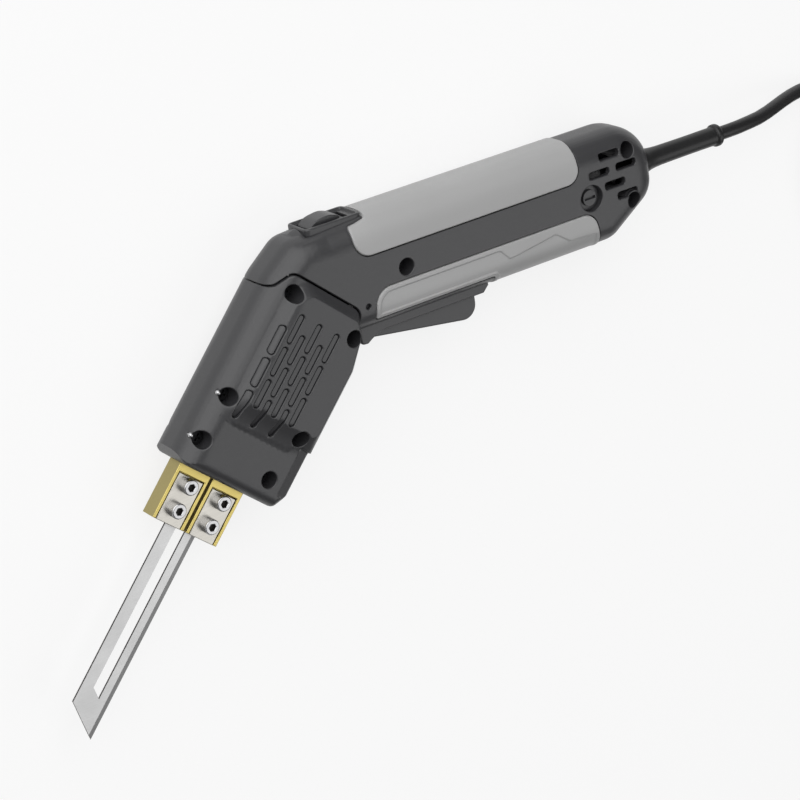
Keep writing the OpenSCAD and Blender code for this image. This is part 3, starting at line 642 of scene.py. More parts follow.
class HOTKNIFE_OT_stage(bpy.types.Operator):
    """Adds the camera, the lamps and a white floor"""

    bl_idname = "hot_knife.stage"
    bl_label = "Stage"

    def execute(self, context):
        scene = context.scene
        scene.view_settings.view_transform = "Standard"
        light = scene.hot_knife_light

        lens = bpy.data.cameras.new("camera")
        lens.lens = 117.0
        lens.sensor_width = 36.0
        lens.clip_start = 0.01
        camera = thing_of("camera", lens)
        across = Vector((0.8237, -0.1387, 0.5498))
        up = Vector((0.3177, 0.9161, -0.2448))
        turned = Matrix((across, up, across.cross(up))).transposed()
        camera.matrix_world = Matrix.Translation((-0.5484, 0.4354, 0.9419)) @ turned.to_4x4()
        scene.camera = camera

        world = bpy.data.worlds.new("studio")
        world.use_nodes = True
        scene.world = world
        tree = world.node_tree
        tree.nodes.clear()
        seen = seen_by(tree, 0.08)
        soft = add(tree, "ShaderNodeBackground", Color=(1, 1, 1, 1), Strength=light.sky)
        white = add(tree, "ShaderNodeBackground", Color=(1, 1, 1, 1), Strength=1.0)
        choice = add(
            tree, "ShaderNodeMixShader", i0=seen.outputs[0], i1=soft.outputs[0], i2=white.outputs[0],
        )
        add(tree, "ShaderNodeOutputWorld", Surface=choice.outputs[0])

        for name, place, size, power in (
            ("overhead_box", (0.75, -0.6, 1.28), 1.4, light.key),
            ("upper_box", (-0.58, 1.05, 1.02), 2.8, light.fill),
        ):
            lamp = bpy.data.lights.new(name, "AREA")
            lamp.shape = "DISK"
            lamp.size = size
            lamp.energy = power
            held = thing_of(name, lamp)
            held.location = place
            held.rotation_euler = Vector(place).to_track_quat("Z", "Y").to_euler()

        points = [(x, y, -0.0003) for x, y in ((-3, -3), (3, -3), (3, 3), (-3, 3))]
        mesh = bpy.data.meshes.new("floor")
        mesh.from_pydata(points, [], [(0, 1, 2, 3)])
        floor = thing_of("floor", mesh)
        made, tree, place = blank("white_sweep")
        grain = add(tree, "ShaderNodeTexNoise", Vector=place, Scale=400.0)
        paper = add(tree, "ShaderNodeMapRange", Value=grain.outputs["Fac"], To_Min=0.88, To_Max=0.92)
        matte = add(tree, "ShaderNodeBsdfDiffuse", Color=paper.outputs[0])
        glow = add(tree, "ShaderNodeEmission", Color=(1, 1, 1, 1), Strength=1.0)
        seen = seen_by(tree, 1.0)
        part = add(tree, "ShaderNodeMath", {"operation": "MULTIPLY"}, i0=seen.outputs[0], i1=0.8)
        choice = add(
            tree, "ShaderNodeMixShader", i0=part.outputs[0], i1=matte.outputs[0], i2=glow.outputs[0],
        )
        close(tree, choice)
        mesh.materials.append(made)
        return {"FINISHED"}


# ---- Cord, boot and plug ----

CORD_ROUTE = [
    (228, 0, 19.5), (234, 0, 19.5), (240, 0, 19.3), (248, 0, 18.2), (255, 0, 16.9), (262, 0.4, 15.1),
    (269, 1, 12.9), (276, 1.6, 10.6), (283, 2, 8.4), (290, 2.1, 6.5), (297, 1.9, 5.1), (304, 1.4, 4.1),
    (311, 0.8, 3.5), (318, 0.3, 3.25), (325, 0, 3.25), (331, 0, 3.25), (338, 0, 3.25),
]
COIL_STEP = 6.95
COIL_R = 26
COIL_TURNS = 7
COIL_PARTS = 24
COIL_BACK = 3.7
COIL_AT = (344.5, -COIL_R - COIL_STEP * COIL_BACK)


def coil_point(s):
    """A point of the coil after s turns: in, up one layer, and out again."""
    radius = COIL_R + COIL_STEP * abs(s - COIL_BACK)
    height = CORD_R + COIL_STEP * min(1, max(0, (s - COIL_BACK) * 2 + 0.5))
    turn = 2 * math.pi * s
    return (COIL_AT[0] + radius * math.sin(turn), COIL_AT[1] + radius * math.cos(turn), height)


TAIL_FROM = (
    COIL_AT[0] + 6.5, COIL_AT[1] + COIL_R + COIL_STEP * (COIL_TURNS - COIL_BACK), CORD_R + COIL_STEP,
)
PLUG_FROM = TAIL_FROM[0] + 24


def cord_points():
    """The whole cord's middle line, in the handle's frame."""
    coil = [coil_point(i / COIL_PARTS) for i in range(COIL_PARTS * COIL_TURNS + 1)]
    tail = [(TAIL_FROM[0] + x, *TAIL_FROM[1:]) for x in (0, 12)]
    return CORD_ROUTE + coil + tail + [(PLUG_FROM, *TAIL_FROM[1:])]


class HOTKNIFE_OT_cord(bpy.types.Operator):
    """Adds the cord, its boot and its plug"""

    bl_idname = "hot_knife.cord"
    bl_label = "Cord, boot and plug"

    def execute(self, context):
        points = [metres(*p) for p in cord_points()]
        curve = bpy.data.curves.new("cord", "CURVE")
        curve.dimensions = "3D"
        curve.bevel_depth = CORD_R / 1000
        curve.bevel_resolution = context.scene.hot_knife_sizes.cord_sides
        curve.use_fill_caps = True
        line = curve.splines.new("POLY")
        line.points.add(len(points) - 1)
        for place, p in zip(line.points, points):
            place.co = (*p, 1)
        line.use_smooth = True
        curve.materials.append(finish_of("rubber"))
        cord = thing_of("cord", curve)
        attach(cord, "housing")
        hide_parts("cord_lead", "cord_coil", "cord_tail")
        length = sum((b - a).length for a, b in zip(points, points[1:]))
        plug = self.plug()
        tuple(points[0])
        self.boot()
        return {"FINISHED"}

    def plug(self):
        """A moulded mains plug: a rounded body with finger grooves across its waist."""
        half, edge, groove = TAIL_FROM[2], 4.0, 0.9
        shape = [
            (0, -5.5, 1), (12, -7, 6), (18, -13, 6), (36, -13, 3),
            (36, 13, 3), (18, 13, 6), (12, 7, 6), (0, 5.5, 1),
        ]
        dense = outline(shape, chord=0.3)
        middles = (22.5, 26.5, 30.5)
        curves = [outline(shape, k) for k in steps_of(edge, 15)]
        curves += [
            box(x + s, -30, x + s + 0.01, 30) for x in middles for s in (-groove, -0.45, 0, 0.45, groove)
        ]

        def surfaces(p):
            height = half - round_drop(depth_in(p, dense), edge)
            for x in middles:
                across = (p[:, 0] - x) / groove
                height -= 0.55 * np.clip(np.cos(across * math.pi / 2), 0, 1) * (np.abs(across) < 1)
            return lambda r: (height, -height)

        solid = relief(curves, lambda m: painted(m, (SKIN, [dense])), surfaces, 2.0, (0, -14, 37, 14))
        placing = ON_TABLE @ Matrix.Translation((PLUG_FROM, TAIL_FROM[1], half))
        return piece("moulded_plug", solid, placing, "rubber", "plug_body")

    def boot(self):
        """The bend relief: it flares into the housing, and a raised ring grips its end."""
        flare = [
            (CORD_R, -6.4), (6.6, -6.4), (6.6, -3.9), (5, -3.9), (5, 0.1), (6.2, 0.1), (6.15, 0.9),
            (5.95, 2.4), (5.6, 3.7), (5.25, 5), (4.98, 6.8), (4.78, 8.8), (4.62, 12), (4.52, 20),
            (4.46, 30),
        ]
        ring = [
            (4.5, -3.5), (4.6, -3.4), (4.95, -3.2), (5.25, -2.9), (5.35, -2.5), (5.35, -1.3), (5.25, -0.9),
            (5.05, -0.5), (4.75, -0.2), (4.3, 0), (CORD_R, 0),
        ]
        profile = [(r, HANDLE_LEN + x) for r, x in flare] + [(r, BOOT_END + x) for r, x in ring]
        placing = PLACED @ Matrix.Rotation(math.pi / 2, 4, "Y")
        piece("bend_relief", revolved(profile), placing, "rubber", "cord_boot")


# ---- Handle shells ----


HANDLE_DENSE = outline(HANDLE, chord=0.3)
UPPER_DENSE = outline(UPPER_PAD, chord=0.3)
LOWER_DENSE = outline(LOWER_PAD, chord=0.3)
GUIDE_GAP = box(15.4, -60, 84.8, -22.2)
BEZEL_GAP = box(-3.1, SADDLE_Y, 25.6, 60)
SLOT_GAP = box(-1.6, 8, 24.1, 60)


def on_nose(points):
    """Points of the handle's frame, in the frame of the nose."""
    return points @ np.array(Matrix.Rotation(math.pi + BEND, 2))


def off_nose(points):
    """Points of the nose's frame, in the frame of the handle."""
    return points @ np.array(Matrix.Rotation(math.pi + BEND, 2)).T


def handle_shell(left):
    """One half of the handle's housing."""
    rim, gap = size_of("rim"), size_of("gap")
    rims = steps_of(rim, 30)
    vent_shapes = [oblong(*v, *REAR_VENT) for v in REAR_VENTS]
    holes = [circle(*PIVOT, PIN_HOLE_R, 20)] + [outline(v, chord=0.5) for v in vent_shapes]
    hole_rims = [circle(*PIVOT, PIN_HOLE_R + t, 20) for t in rims[1:]]
    hole_rims += [outline(v, -t, 0.5) for v in vent_shapes for t in rims[1:]]
    sunk = [(*w, WELL_R) for w in HANDLE_WELLS] + [(*PLUG_AT, PLUG_SEAT_R)] if left else []
    sunk_rims = [circle(x, y, radius + t) for x, y, radius in sunk for t in rims]
    bosses = [circle(*w, BOSS_R, 24) for w in HANDLE_WELLS]
    rings = [circle(*w, WELL_R + 0.7) for w in HANDLE_WELLS]
    shafts = [circle(*w, SHAFT_R, 16) for w in HANDLE_WELLS]
    plug_roof = HALF_W - 7
    posts = [
        (circle(*PIVOT, 4, 24), 8.5), (box(49, -16, 67, -7), 7.1), (box(5, 10, 19, 17), 6.1),
        (box(86, -13, 108, -4), 6.1),
    ]
    if left:
        posts.append((circle(*PLUG_AT, 8), plug_roof))
    else:
        posts += [(circle(150, y, 3.5, 20), 3.3) for y in (-7.6, 7.6)]
    curves = [outline(HANDLE, k) for k in steps_of(EDGE_R, 7.5) + [PAD_T, 1.335, 1.046]]
    curves += [outline(HANDLE, WALL + k) for k in steps_of(EDGE_R - WALL, 22.5)[:-1]]
    curves += [off_nose(outline(PARTING, -gap - t)) for t in rims]
    curves += [outline(shape, -t) for shape in (UPPER_PAD, LOWER_PAD) for t in steps_of(PAD_LIP, 45)]
    curves += [circle(BROW[0], BROW[1], BROW[2] * math.sin(math.radians(a)), 48) for a in range(15, 91, 15)]
    curves += [GUIDE_GAP, BEZEL_GAP, SLOT_GAP]
    curves += holes + hole_rims + sunk_rims + bosses + rings + shafts + [p for p, _ in posts]
    parted = outline(PARTING, -gap, 0.3)

    def outer(p, deep):
        ball = BROW[2] ** 2 - (p[:, 0] - BROW[0]) ** 2 - (p[:, 1] - BROW[1]) ** 2
        skin, brow = np.where(deep > -1e-3, moulded(deep, EDGE_R), -1), np.sqrt(np.maximum(ball, 0))
        near = np.clip(7 - np.abs(skin - brow), 0, None)
        near = near * np.clip(deep / 3, 0, 1) * np.clip(ball / 40, 0, 1)
        return np.maximum(skin, brow) + near * near / 28, ball

    def region(m):
        deep = depth_in(m, HANDLE_DENSE)
        height, ball = outer(m, deep)
        found = ((deep > 0) | (ball > 0)).astype(int)
        paint(found, m, RECESS, [UPPER_DENSE, LOWER_DENSE], SKIN)
        found[(found == RECESS) & (deep < PAD_T)] = 0
        paint(found, m, WELL, [circle(*s) for s in sunk[:-1]])
        paint(found, m, SEAT, [circle(*s) for s in sunk[-1:]])
        paint(found, m, BOSS, bosses, SKIN)
        for number, (shape, _) in enumerate(posts):
            paint(found, m, POST + number, [shape], SKIN)
        low, high, slot = (depth_in(m, shape) > 0 for shape in (GUIDE_GAP, BEZEL_GAP, SLOT_GAP))
        found[slot & (found == SKIN)] = SLOT
        found[low & (found == SKIN)] = MOUTH
        found[low & (found == RECESS)] = PAD_MOUTH
        found[high & (found > 0)] = SADDLE
        found[slot & ~high & (found == RECESS)] = PAD_SLOT
        found[(low & (height < GUIDE_Z)) | (high & (height < BEZEL_Z))] = 0
        ring = np.max([depth_in(m, r) for r in rings], 0) > 0
        for hole in holes[1:]:
            cut = (depth_in(m, hole) > 0) & ~ring
            found[cut & (found == BOSS)] = VENT_BOSS
            found[cut & (found != VENT_BOSS)] = 0
        paint(found, m, 0, holes[:1] + shafts)
        return paint(found, on_nose(m), 0, [parted])

    def surfaces(p):
        deep = depth_in(p, HANDLE_DENSE)
        height, _ = outer(p, deep)
        recess = moulded(deep, EDGE_R, PAD_T)
        low = np.where(deep >= WALL - 1e-3, moulded(deep, EDGE_R, WALL), 0.0)
        edges = [away_from(p, shape) for shape in holes + [circle(*s) for s in sunk]]
        for edge in edges + [away_from(on_nose(p), parted)]:
            height = height - round_drop(edge, rim)
        for shape in (UPPER_DENSE, LOWER_DENSE):
            height = height - round_drop(away_from(p, shape), PAD_LIP) * (deep > PAD_LIP)
        floors = {WELL: HEAD_Z, SEAT: PLUG_SEAT_Z}
        roofs = {WELL: 0.0, BOSS: 0.0, VENT_BOSS: 0.0, SEAT: plug_roof}
        roofs.update({POST + k: z for k, (_, z) in enumerate(posts)})
        lifts = {SLOT: SLOT_Z, PAD_SLOT: SLOT_Z, MOUTH: GUIDE_Z, PAD_MOUTH: GUIDE_Z, SADDLE: BEZEL_Z}

        def surface(r):
            if r in floors:
                high = low * 0 + floors[r]
            elif r in (RECESS, PAD_MOUTH, PAD_SLOT):
                high = recess
            else:
                high = height - VENT_BOSS_SINK * (r == VENT_BOSS)
            under = np.minimum(low, roofs[r]) if r in roofs else low
            return high, np.maximum(under, lifts[r]) if r in lifts else under

        return surface

    solid = relief(curves, region, surfaces, 3.0, (-12, -30, 182, 26))
    side, mirror = sided(left)
    piece(f"handle_{side}_half", solid, PLACED @ mirror, "housing", f"handle_{side}_shell")


class HOTKNIFE_OT_handle(bpy.types.Operator):
    """Adds the two halves of the handle"""

    bl_idname = "hot_knife.handle"
    bl_label = "Handle"

    def execute(self, context):
        for left in (True, False):
            handle_shell(left)
        return {"FINISHED"}


# ---- Grip pads ----

FIELD = [
    (0, -11.4, 0), (88.5, -11.4, 2), (93.4, -16.6, 2), (119.1, -13.0, 3), (126.7, -18.4, 2), (150, -20, 0),
    (150, -60, 0), (0, -60, 0),
]
FIELD_RIM = 1.6
RAMP = 0.9
RAMP_STEPS = (0, 0.3, 0.6, RAMP)


def grip_pad(upper, left):
    """A rubber pad in its recess, with a soft edge. The lower one has a sunk field in a rim."""
    gap, edge = size_of("gap"), size_of("pad_edge")
    corners = UPPER_PAD if upper else LOWER_PAD
    dense = outline(corners, gap, 0.3)
    curves = [outline(HANDLE, k) for k in (-PAD_PROUD, PAD_T, 0.836, 0.546)]
    curves += [outline(HANDLE, k - PAD_PROUD) for k in steps_of(EDGE_R + PAD_PROUD, 5)]
    curves += [outline(corners, gap + k) for k in steps_of(edge, 18)]
    curves += [GUIDE_GAP, BEZEL_GAP]
    if not upper:
        curves += [outline(corners, gap + FIELD_RIM + k) for k in RAMP_STEPS]
        curves += [outline(FIELD, k) for k in RAMP_STEPS]
        field = outline(FIELD, chord=0.3)

    def region(m):
        deep = depth_in(m, HANDLE_DENSE)
        height = moulded(deep, EDGE_R, -PAD_PROUD)
        found = ((depth_in(m, dense) > 0) & (deep > -PAD_PROUD)).astype(int)
        low, top = (depth_in(m, shape) > 0 for shape in (GUIDE_GAP, BEZEL_GAP))
        found[low & (found > 0)] = MOUTH
        found[top & (found > 0)] = SADDLE
        found[(low & (height < GUIDE_Z)) | (top & (height < BEZEL_Z))] = 0
        return found

    def surfaces(p):
        deep, inside = depth_in(p, HANDLE_DENSE), depth_in(p, dense)
        height = moulded(deep, EDGE_R, -PAD_PROUD) - round_drop(inside, edge)
        if not upper:
            ramp = np.clip(np.minimum(inside - FIELD_RIM, depth_in(p, field)) / RAMP, 0, 1)
            height = height - size_of("field") * eased(ramp)
        low = np.where(deep >= PAD_T - 1e-3, moulded(deep, EDGE_R, PAD_T), 0.0)
        lifts = {SKIN: 0, MOUTH: GUIDE_Z, SADDLE: BEZEL_Z}
        return lambda r: (height, np.maximum(low, lifts[r]))

    grid, area = (3.0, (14, 5, 138, 25)) if upper else (1.6, (20, -30, 146, -8))
    (side, mirror), row = sided(left), "upper" if upper else "lower"
    piece(
        f"{row}_{side}_pad", relief(curves, region, surfaces, grid, area), PLACED @ mirror, "grip",
        f"{row}_{side}_grip",
    )


class HOTKNIFE_OT_grips(bpy.types.Operator):
    """Adds the four grip pads"""

    bl_idname = "hot_knife.grips"
    bl_label = "Grip pads"

    def execute(self, context):
        for left in (True, False):
            for upper in (True, False):
                grip_pad(upper, left)
        return {"FINISHED"}


# ---- Nose covers ----

NOSE_DENSE = outline(NOSE, chord=0.3)
SOFT_DENSE = outline(NOSE_SOFT)
PANEL_ROUND = 1.0
VENT_DEPTH = 1.2
VENT_FLOOR = 0.6
VENT_CROWN = 0.65
KEEL_FROM, KEEL_TO, KEEL_Y, KEEL_SLOPE = 67, 89, 26, 0.445
VENT_SIZE = (13.5, 2.9, 1.44)
VENT_PITCH = 15.3
VENT_ROW = 5.1
DOWEL_HOLE_R = 0.92


def panel_hull(inset):
    """The raised panel, sunk by an inset, ready to be felt from above."""
    slices = [(outline(PANEL_FOOT, inset), z) for z in (8.0, 14.0 - inset)]
    for a in (0, 30, 60, 90):
        turn = math.radians(a)
        drop, sink = PANEL_ROUND * (1 - math.sin(turn)), PANEL_ROUND * (1 - math.cos(turn))
        slices.append((outline(PANEL, inset + sink), PANEL_Z - inset - drop))
    work = bmesh.new()
    for shape, z in slices:
        for x, y in shape:
            work.verts.new((x, y, z))
    bmesh.ops.convex_hull(work, input=work.verts)
    felt = BVHTree.FromBMesh(work)
    work.free()
    return felt


def felt_height(felt, points):
    """The height of a felt form at each point, or -10 beside it."""
    down = Vector((0, 0, -1))
    found = []
    for x, y in points:
        hit = felt.ray_cast(Vector((x, y, 100)), down)[0]
        found.append(hit.z if hit else -10.0)
    return np.array(found)


def vents():
    """Corners of the vent slots, in rows that stand half a step apart."""
    slots = []
    for row in range(-3, 3):
        for slot in range(3):
            n = 17.3 + (0 if row % 2 == 0 else VENT_PITCH / 2) + slot * VENT_PITCH + 5.9
            slots.append(oblong(n, (row + 0.5) * VENT_ROW + 0.4, *VENT_SIZE))
    return slots


def nose_cover(left):
    """One cover of the nose, with the raised panel and its vent slots."""
    rim, gap = size_of("rim"), size_of("gap")
    rims = steps_of(rim, 30)
    slots = [outline(v, chord=0.4) for v in vents()]
    holes = [circle(*d, DOWEL_HOLE_R, 16) for d in DOWELS] + [circle(*w, SHAFT_R, 16) for w in NOSE_WELLS]
    wells = NOSE_WELLS if left else []
    bosses = [circle(*w, BOSS_R, 24) for w in NOSE_WELLS]
    posts = [(box(n, y, n + 2.5, y + 2.4), 8.9) for n in (21, 52.5) for y in (-16.5, 17.1)]
    posts.append((box(88.1, -20, 90, -15.5), 2.0))
    mouths = [box(80, s * BLOCK_MID - 8.7, 110, s * BLOCK_MID + 8.7) for s in (-1, 1)]
    parted = outline(PARTING, gap, 0.3)
    back = NOSE_SOFT[0][1]
    curves = [outline(NOSE, k) for k in steps_of(NOSE_EDGE_R, 11.25)]
    curves += [box(-15, back + k, 109, 60) for k in steps_of(EDGE_R, 7.5)]
    curves += [outline(NOSE, WALL)]
    curves += [box(-15, back + WALL + k, 109, 60) for k in steps_of(EDGE_R - WALL, 22.5)[:-1]]
    curves += [outline(PARTING, gap + t) for t in rims]
    curves += [outline(PANEL, k) for k in steps_of(PANEL_ROUND, 30)]
    curves += [outline(PANEL_FOOT), box(KEEL_FROM, KEEL_Y, KEEL_TO, 60)]
    curves += [outline(v, t, 0.4) for v in vents() for t in [-k for k in rims] + [0.2, 0.45]]
    curves += [circle(*w, WELL_R + t) for w in wells for t in rims]
    curves += holes + bosses + [p for p, _ in posts] + mouths
    shell, floor, inner = panel_hull(0), panel_hull(VENT_DEPTH), panel_hull(WALL)
    mouth_z = 4.2 if left else 5.2

    def region(m):
        inside = (depth_in(m, NOSE_DENSE) > 0) & (m[:, 1] > back) & (depth_in(m, parted) > 0)
        found = inside.astype(int)
        for number, (shape, _) in enumerate(posts):
            paint(found, m, POST + number, [shape], SKIN)
        paint(found, m, MOUTH, mouths, SKIN)
        found[inside & (np.max([depth_in(m, slot) for slot in slots], 0) > 0)] = RECESS
        paint(found, m, BOSS, bosses, SKIN)
        paint(found, m, MOUTH_BOSS, bosses, MOUTH)
        paint(found, m, WELL, [circle(*w, WELL_R) for w in wells])
        return paint(found, m, 0, holes)

    def surfaces(p):
        tight, soft = depth_in(p, NOSE_DENSE), depth_in(p, SOFT_DENSE)
        side = np.minimum(moulded(soft, EDGE_R), moulded(tight, NOSE_EDGE_R))
        panel = felt_height(shell, p)
        away = np.clip((-9 - p[:, 1]) / 13, 0, 1) * np.clip((p[:, 0] - 4) / 8, 0, 1)
        panel = panel - (PANEL_Z - HALF_W + 0.6) * eased(away)
        reach = 1.1 + 1.9 * away + 2.4 * np.clip((p[:, 0] - 60) / 6, 0, 1) * (p[:, 1] < 22)
        near = np.clip(reach - np.abs(side - panel), 0, None)
        height = np.maximum(side, panel) + near * near / reach / 4
        slotted = [depth_in(p, slot) for slot in slots]
        crown = np.clip(np.max(slotted, 0) / 0.45, 0, 1)
        sunk = felt_height(floor, p)
        vent = np.where(sunk > 0, np.minimum(sunk, height - VENT_DEPTH), height - VENT_DEPTH)
        vent = vent + VENT_CROWN * eased(crown)
        keel = (p[:, 0] > KEEL_FROM - 1e-3) & (p[:, 0] < KEEL_TO + 1e-3) & (p[:, 1] > KEEL_Y - 1e-3)
        slope = HALF_W - (p[:, 1] - KEEL_Y) * KEEL_SLOPE
        height = np.where(keel, np.minimum(height, slope), height)
        low = np.where(tight >= WALL - 1e-3, np.minimum(moulded(soft, EDGE_R, WALL), HALF_W - WALL), 0.0)
        low = np.where(soft >= WALL - 1e-3, low, 0.0)
        low = np.maximum(low, felt_height(inner, p))
        low = np.minimum(np.maximum(low, 0), height - 0.3)
        edges = [-deep for deep in slotted] + [away_from(p, h) for h in holes[:2]] + [depth_in(p, parted)]
        for edge in edges + [away_from(p, circle(*w, WELL_R)) for w in wells]:
            height = height - round_drop(edge, rim)
        roofs = {WELL: 0.0, BOSS: 0.0, MOUTH_BOSS: 0.0}
        roofs.update({POST + k: z for k, (_, z) in enumerate(posts)})

        def surface(r):
            high = {RECESS: vent, WELL: low * 0 + HEAD_Z}.get(r, height)
            under = np.minimum(low, roofs[r]) if r in roofs else low
            under = np.maximum(under, mouth_z) if r in (MOUTH, MOUTH_BOSS) else under
            return high, np.minimum(under, vent - VENT_FLOOR) if r == RECESS else under

        return surface

    solid = relief(curves, region, surfaces, 1.6, (2, -26, 96, 34))
    side, mirror = sided(left)
    piece(f"nose_{side}_half", solid, ON_NOSE @ mirror, "housing", f"nose_{side}_cover")


class HOTKNIFE_OT_nose(bpy.types.Operator):
    """Adds the two covers of the nose"""

    bl_idname = "hot_knife.nose"
    bl_label = "Nose"

    def execute(self, context):
        for left in (True, False):
            nose_cover(left)
        self.dowels()
        return {"FINISHED"}

    def dowels(self):
        """Two pins through the covers, whose domed heads stand proud of the rounded side."""
        radius, foot, pins = 1.25, 1.8, []
        for spot, seat in zip(DOWELS, (11.3, 9.7)):
            turns = [math.radians(a) for a in range(-45, 91, 9)]
            dome = [(radius * math.cos(t), seat + radius * math.sin(t)) for t in turns]
            pins.append((revolved([(0, foot - seat), (0.9, foot - seat)] + dome, 24), spot))
        piece("domed_dowels", joined(pins), ON_NOSE, "steel", "dowel_pins")


# ---- Trigger and slide switch ----


def plate(name, shapes, edge, body, node, holes=()):
    """A flat-sided moulding from outlines with half thicknesses, the first on top, with soft edges."""
    dense = [outline(shape, chord=0.3) for shape, _ in shapes]
    curves = [outline(shape, k) for shape, _ in shapes for k in steps_of(edge, 22.5)] + list(holes)
    layers = [(number, [d]) for number, d in enumerate(dense, 1)]

    def surfaces(p):
        made = [half - round_drop(depth_in(p, d), edge) for d, (_, half) in zip(dense, shapes)]
        return lambda r: (made[r - 1], -made[r - 1])

    solid = relief(curves, lambda m: painted(m, *reversed(layers), (0, holes)), surfaces)
    piece(name, solid, PLACED, "housing", node, body=body)


def trigger_guide():
    """The frame that the trigger dips into: two cheeks joined by a bar at each end."""
    shape = [
        (15.6, -24.2, 0.5), (15.6, -34.6, 1.7), (19.2, -34.9, 1.4), (25, -31.1, 17), (81.6, -31.1, 0.6),
        (84.6, -28.2, 0.5), (84.6, -24.2, 0.5),
    ]
    slot = box(17.6, -60, 80.9, 0)
    edge, neck_y = 0.8, -26.6
    half, cheek_from, neck_depth = 8.5, 6.3, 1.8
    dense = outline(shape, chord=0.3)
    curves = [outline(shape, k) for k in steps_of(edge, 22.5)] + [slot]
    curves += [box(10, neck_y + k, 90, -10) for k in RAMP_STEPS]

    def surfaces(p):
        neck = np.clip((p[:, 1] - neck_y) / RAMP, 0, 1)
        height = half - round_drop(depth_in(p, dense), edge) - neck_depth * eased(neck)
        return lambda r: (height, height * 0 + (cheek_from if r == SLOT else 0))

    def region(m):
        return paint(painted(m, (SKIN, [dense])), m, SLOT, [slot], SKIN)

    points, faces = relief(curves, region, surfaces)
    flat = [f for f in faces if any(points[i][2] > 1e-6 for i in f)]
    count = len(points)
    shared = {i: i for i in range(count) if points[i][2] < 1e-6}
    both = points + [(x, y, -z) for x, y, z in points]
    mirrored = [[shared.get(i, i + count) for i in reversed(f)] for f in flat]
    piece("trigger_frame", (both, flat + mirrored), PLACED, "housing", "trigger_guide")


def slide_bezel():
    """The slide switch's frame: a raised rim round a field that the button's slot cuts through."""
    upright = Matrix(((1, 0, 0, 0), (0, 0, 1, SADDLE_Y), (0, 1, 0, 0), (0, 0, 0, 1)))
    shape, half = oblong(11.25, 0, 28.5, 16, 2.5), 5.1
    top, ledge, field_from, field_ramp = 3.3, 1.4, 1.3, 0.5
    dense = outline(shape, chord=0.3)
    slot, hollow = box(0, -half, 21, half), box(-1.4, -half, 23.9, half)
    curves = [outline(shape, k) for k in steps_of(0.7, 18) + [field_from, 1.45, 1.65, 1.8]] + [slot, hollow]
    curves += [box(-t, -half - t, 21 + t, half + t) for t in (0.12, 0.25)]

    def surfaces(p):
        inside = depth_in(p, dense)
        field = eased(np.clip((inside - field_from) / field_ramp, 0, 1))
        height = top - round_drop(inside, 0.7) - field - round_drop(away_from(p, slot), 0.25)
        return lambda r: (height, height * 0 + (ledge if r == SLOT else 0))

    def region(m):
        return painted(m, (SKIN, [dense]), (SLOT, [hollow]), (0, [slot]))

    solid = relief(curves, region, surfaces, 2.0)
    piece("switch_frame", solid, PLACED @ upright, "housing", "slide_bezel")


class HOTKNIFE_OT_switches(bpy.types.Operator):
    """Adds the trigger with its frame, and the slide switch with its frame"""

    bl_idname = "hot_knife.switches"
    bl_label = "Trigger and slide switch"

    def execute(self, context):
        trigger_guide()
        paddle = [(20.4, -33.4, 1), (78.2, -42.6, 6.5), (78.2, -22.2, 2), (22, -22.2, 2)]
        skirt = [(20.8, -31.6, 0), (78.2, -31.6, 0), (78.2, -22.2, 2), (22, -22.2, 2)]
        arm = [(20.4, -30, 1), (30, -30, 1), (30, -22.2, 1), (22, -13.6, 2), (17, -16.6, 1)]
        hub = oblong(*PIVOT, 8, 8, 3.99)
        plate(
            "trigger", [(skirt, 5.0), (paddle, 6.0), (arm, 3.6), (hub, 3.6)], 1.0,
            "trigger", "trigger_paddle", [circle(*PIVOT, 1.25, 24)],
        )
        slide_bezel()
        dome = [
            (0.6, 20.8, 0), (16.6, 20.8, 0), (16.6, 24.6, 1.5), (11.5, 26.3, 9), (4.5, 25.4, 8),
            (0.6, 22.8, 1.5),
        ]
        foot, tongue = rectangle(-1.3, 20.6, 20.7, 21.8), rectangle(6, 16.6, 9, 21.1)
        plate("slide_thumb", [(dome, 4.9), (foot, 4.7), (tongue, 1.5)], 0.6, "button", "slide_button")
        self.plug()
        return {"FINISHED"}

    def plug(self):
        """The stepped plug behind the grip, with a slot for a coin."""
        wide, knob = 5.9, 3.8
        flange, rise, slot_floor, edge = 1.8, 1.4, 2.0, 0.3
        slot = box(-3, -0.7, 3, 0.7)
        curves = [circle(0, 0, wide - k) for k in (0, 0.1, 0.3)]
        curves += [circle(0, 0, r) for r in (4.4, 4.1, knob, 3.7, 3.5)] + [slot]

        def region(m):
            far = np.hypot(m[:, 0], m[:, 1])
            return paint(np.where(far < knob, BOSS, np.where(far < wide, SKIN, 0)), m, SLOT, [slot])

        def surfaces(p):
            far = np.hypot(p[:, 0], p[:, 1])
            base = flange - round_drop(wide - far, edge)
            raised = base + np.where(far < knob + 1e-6, rise - round_drop(knob - far, edge), 0)
            return lambda r: ({SKIN: base, BOSS: raised, SLOT: far * 0 + slot_floor}[r], far * 0)

        placing = PLACED @ Matrix.Translation((*PLUG_AT, PLUG_SEAT_Z))
        piece("coin_plug", relief(curves, region, surfaces, 2.0), placing, "housing", "access_plug")


# ---- Terminal blocks, clamps and blade ----


PLATE_TOP = 3.7
BLADE_HALF = 0.5


def screw_holes(radius, mid):
    """The two screw holes of a block, a plate or the blade, across its middle line."""
    return [circle(n, mid, radius, 24) for n in SCREW_ROWS]


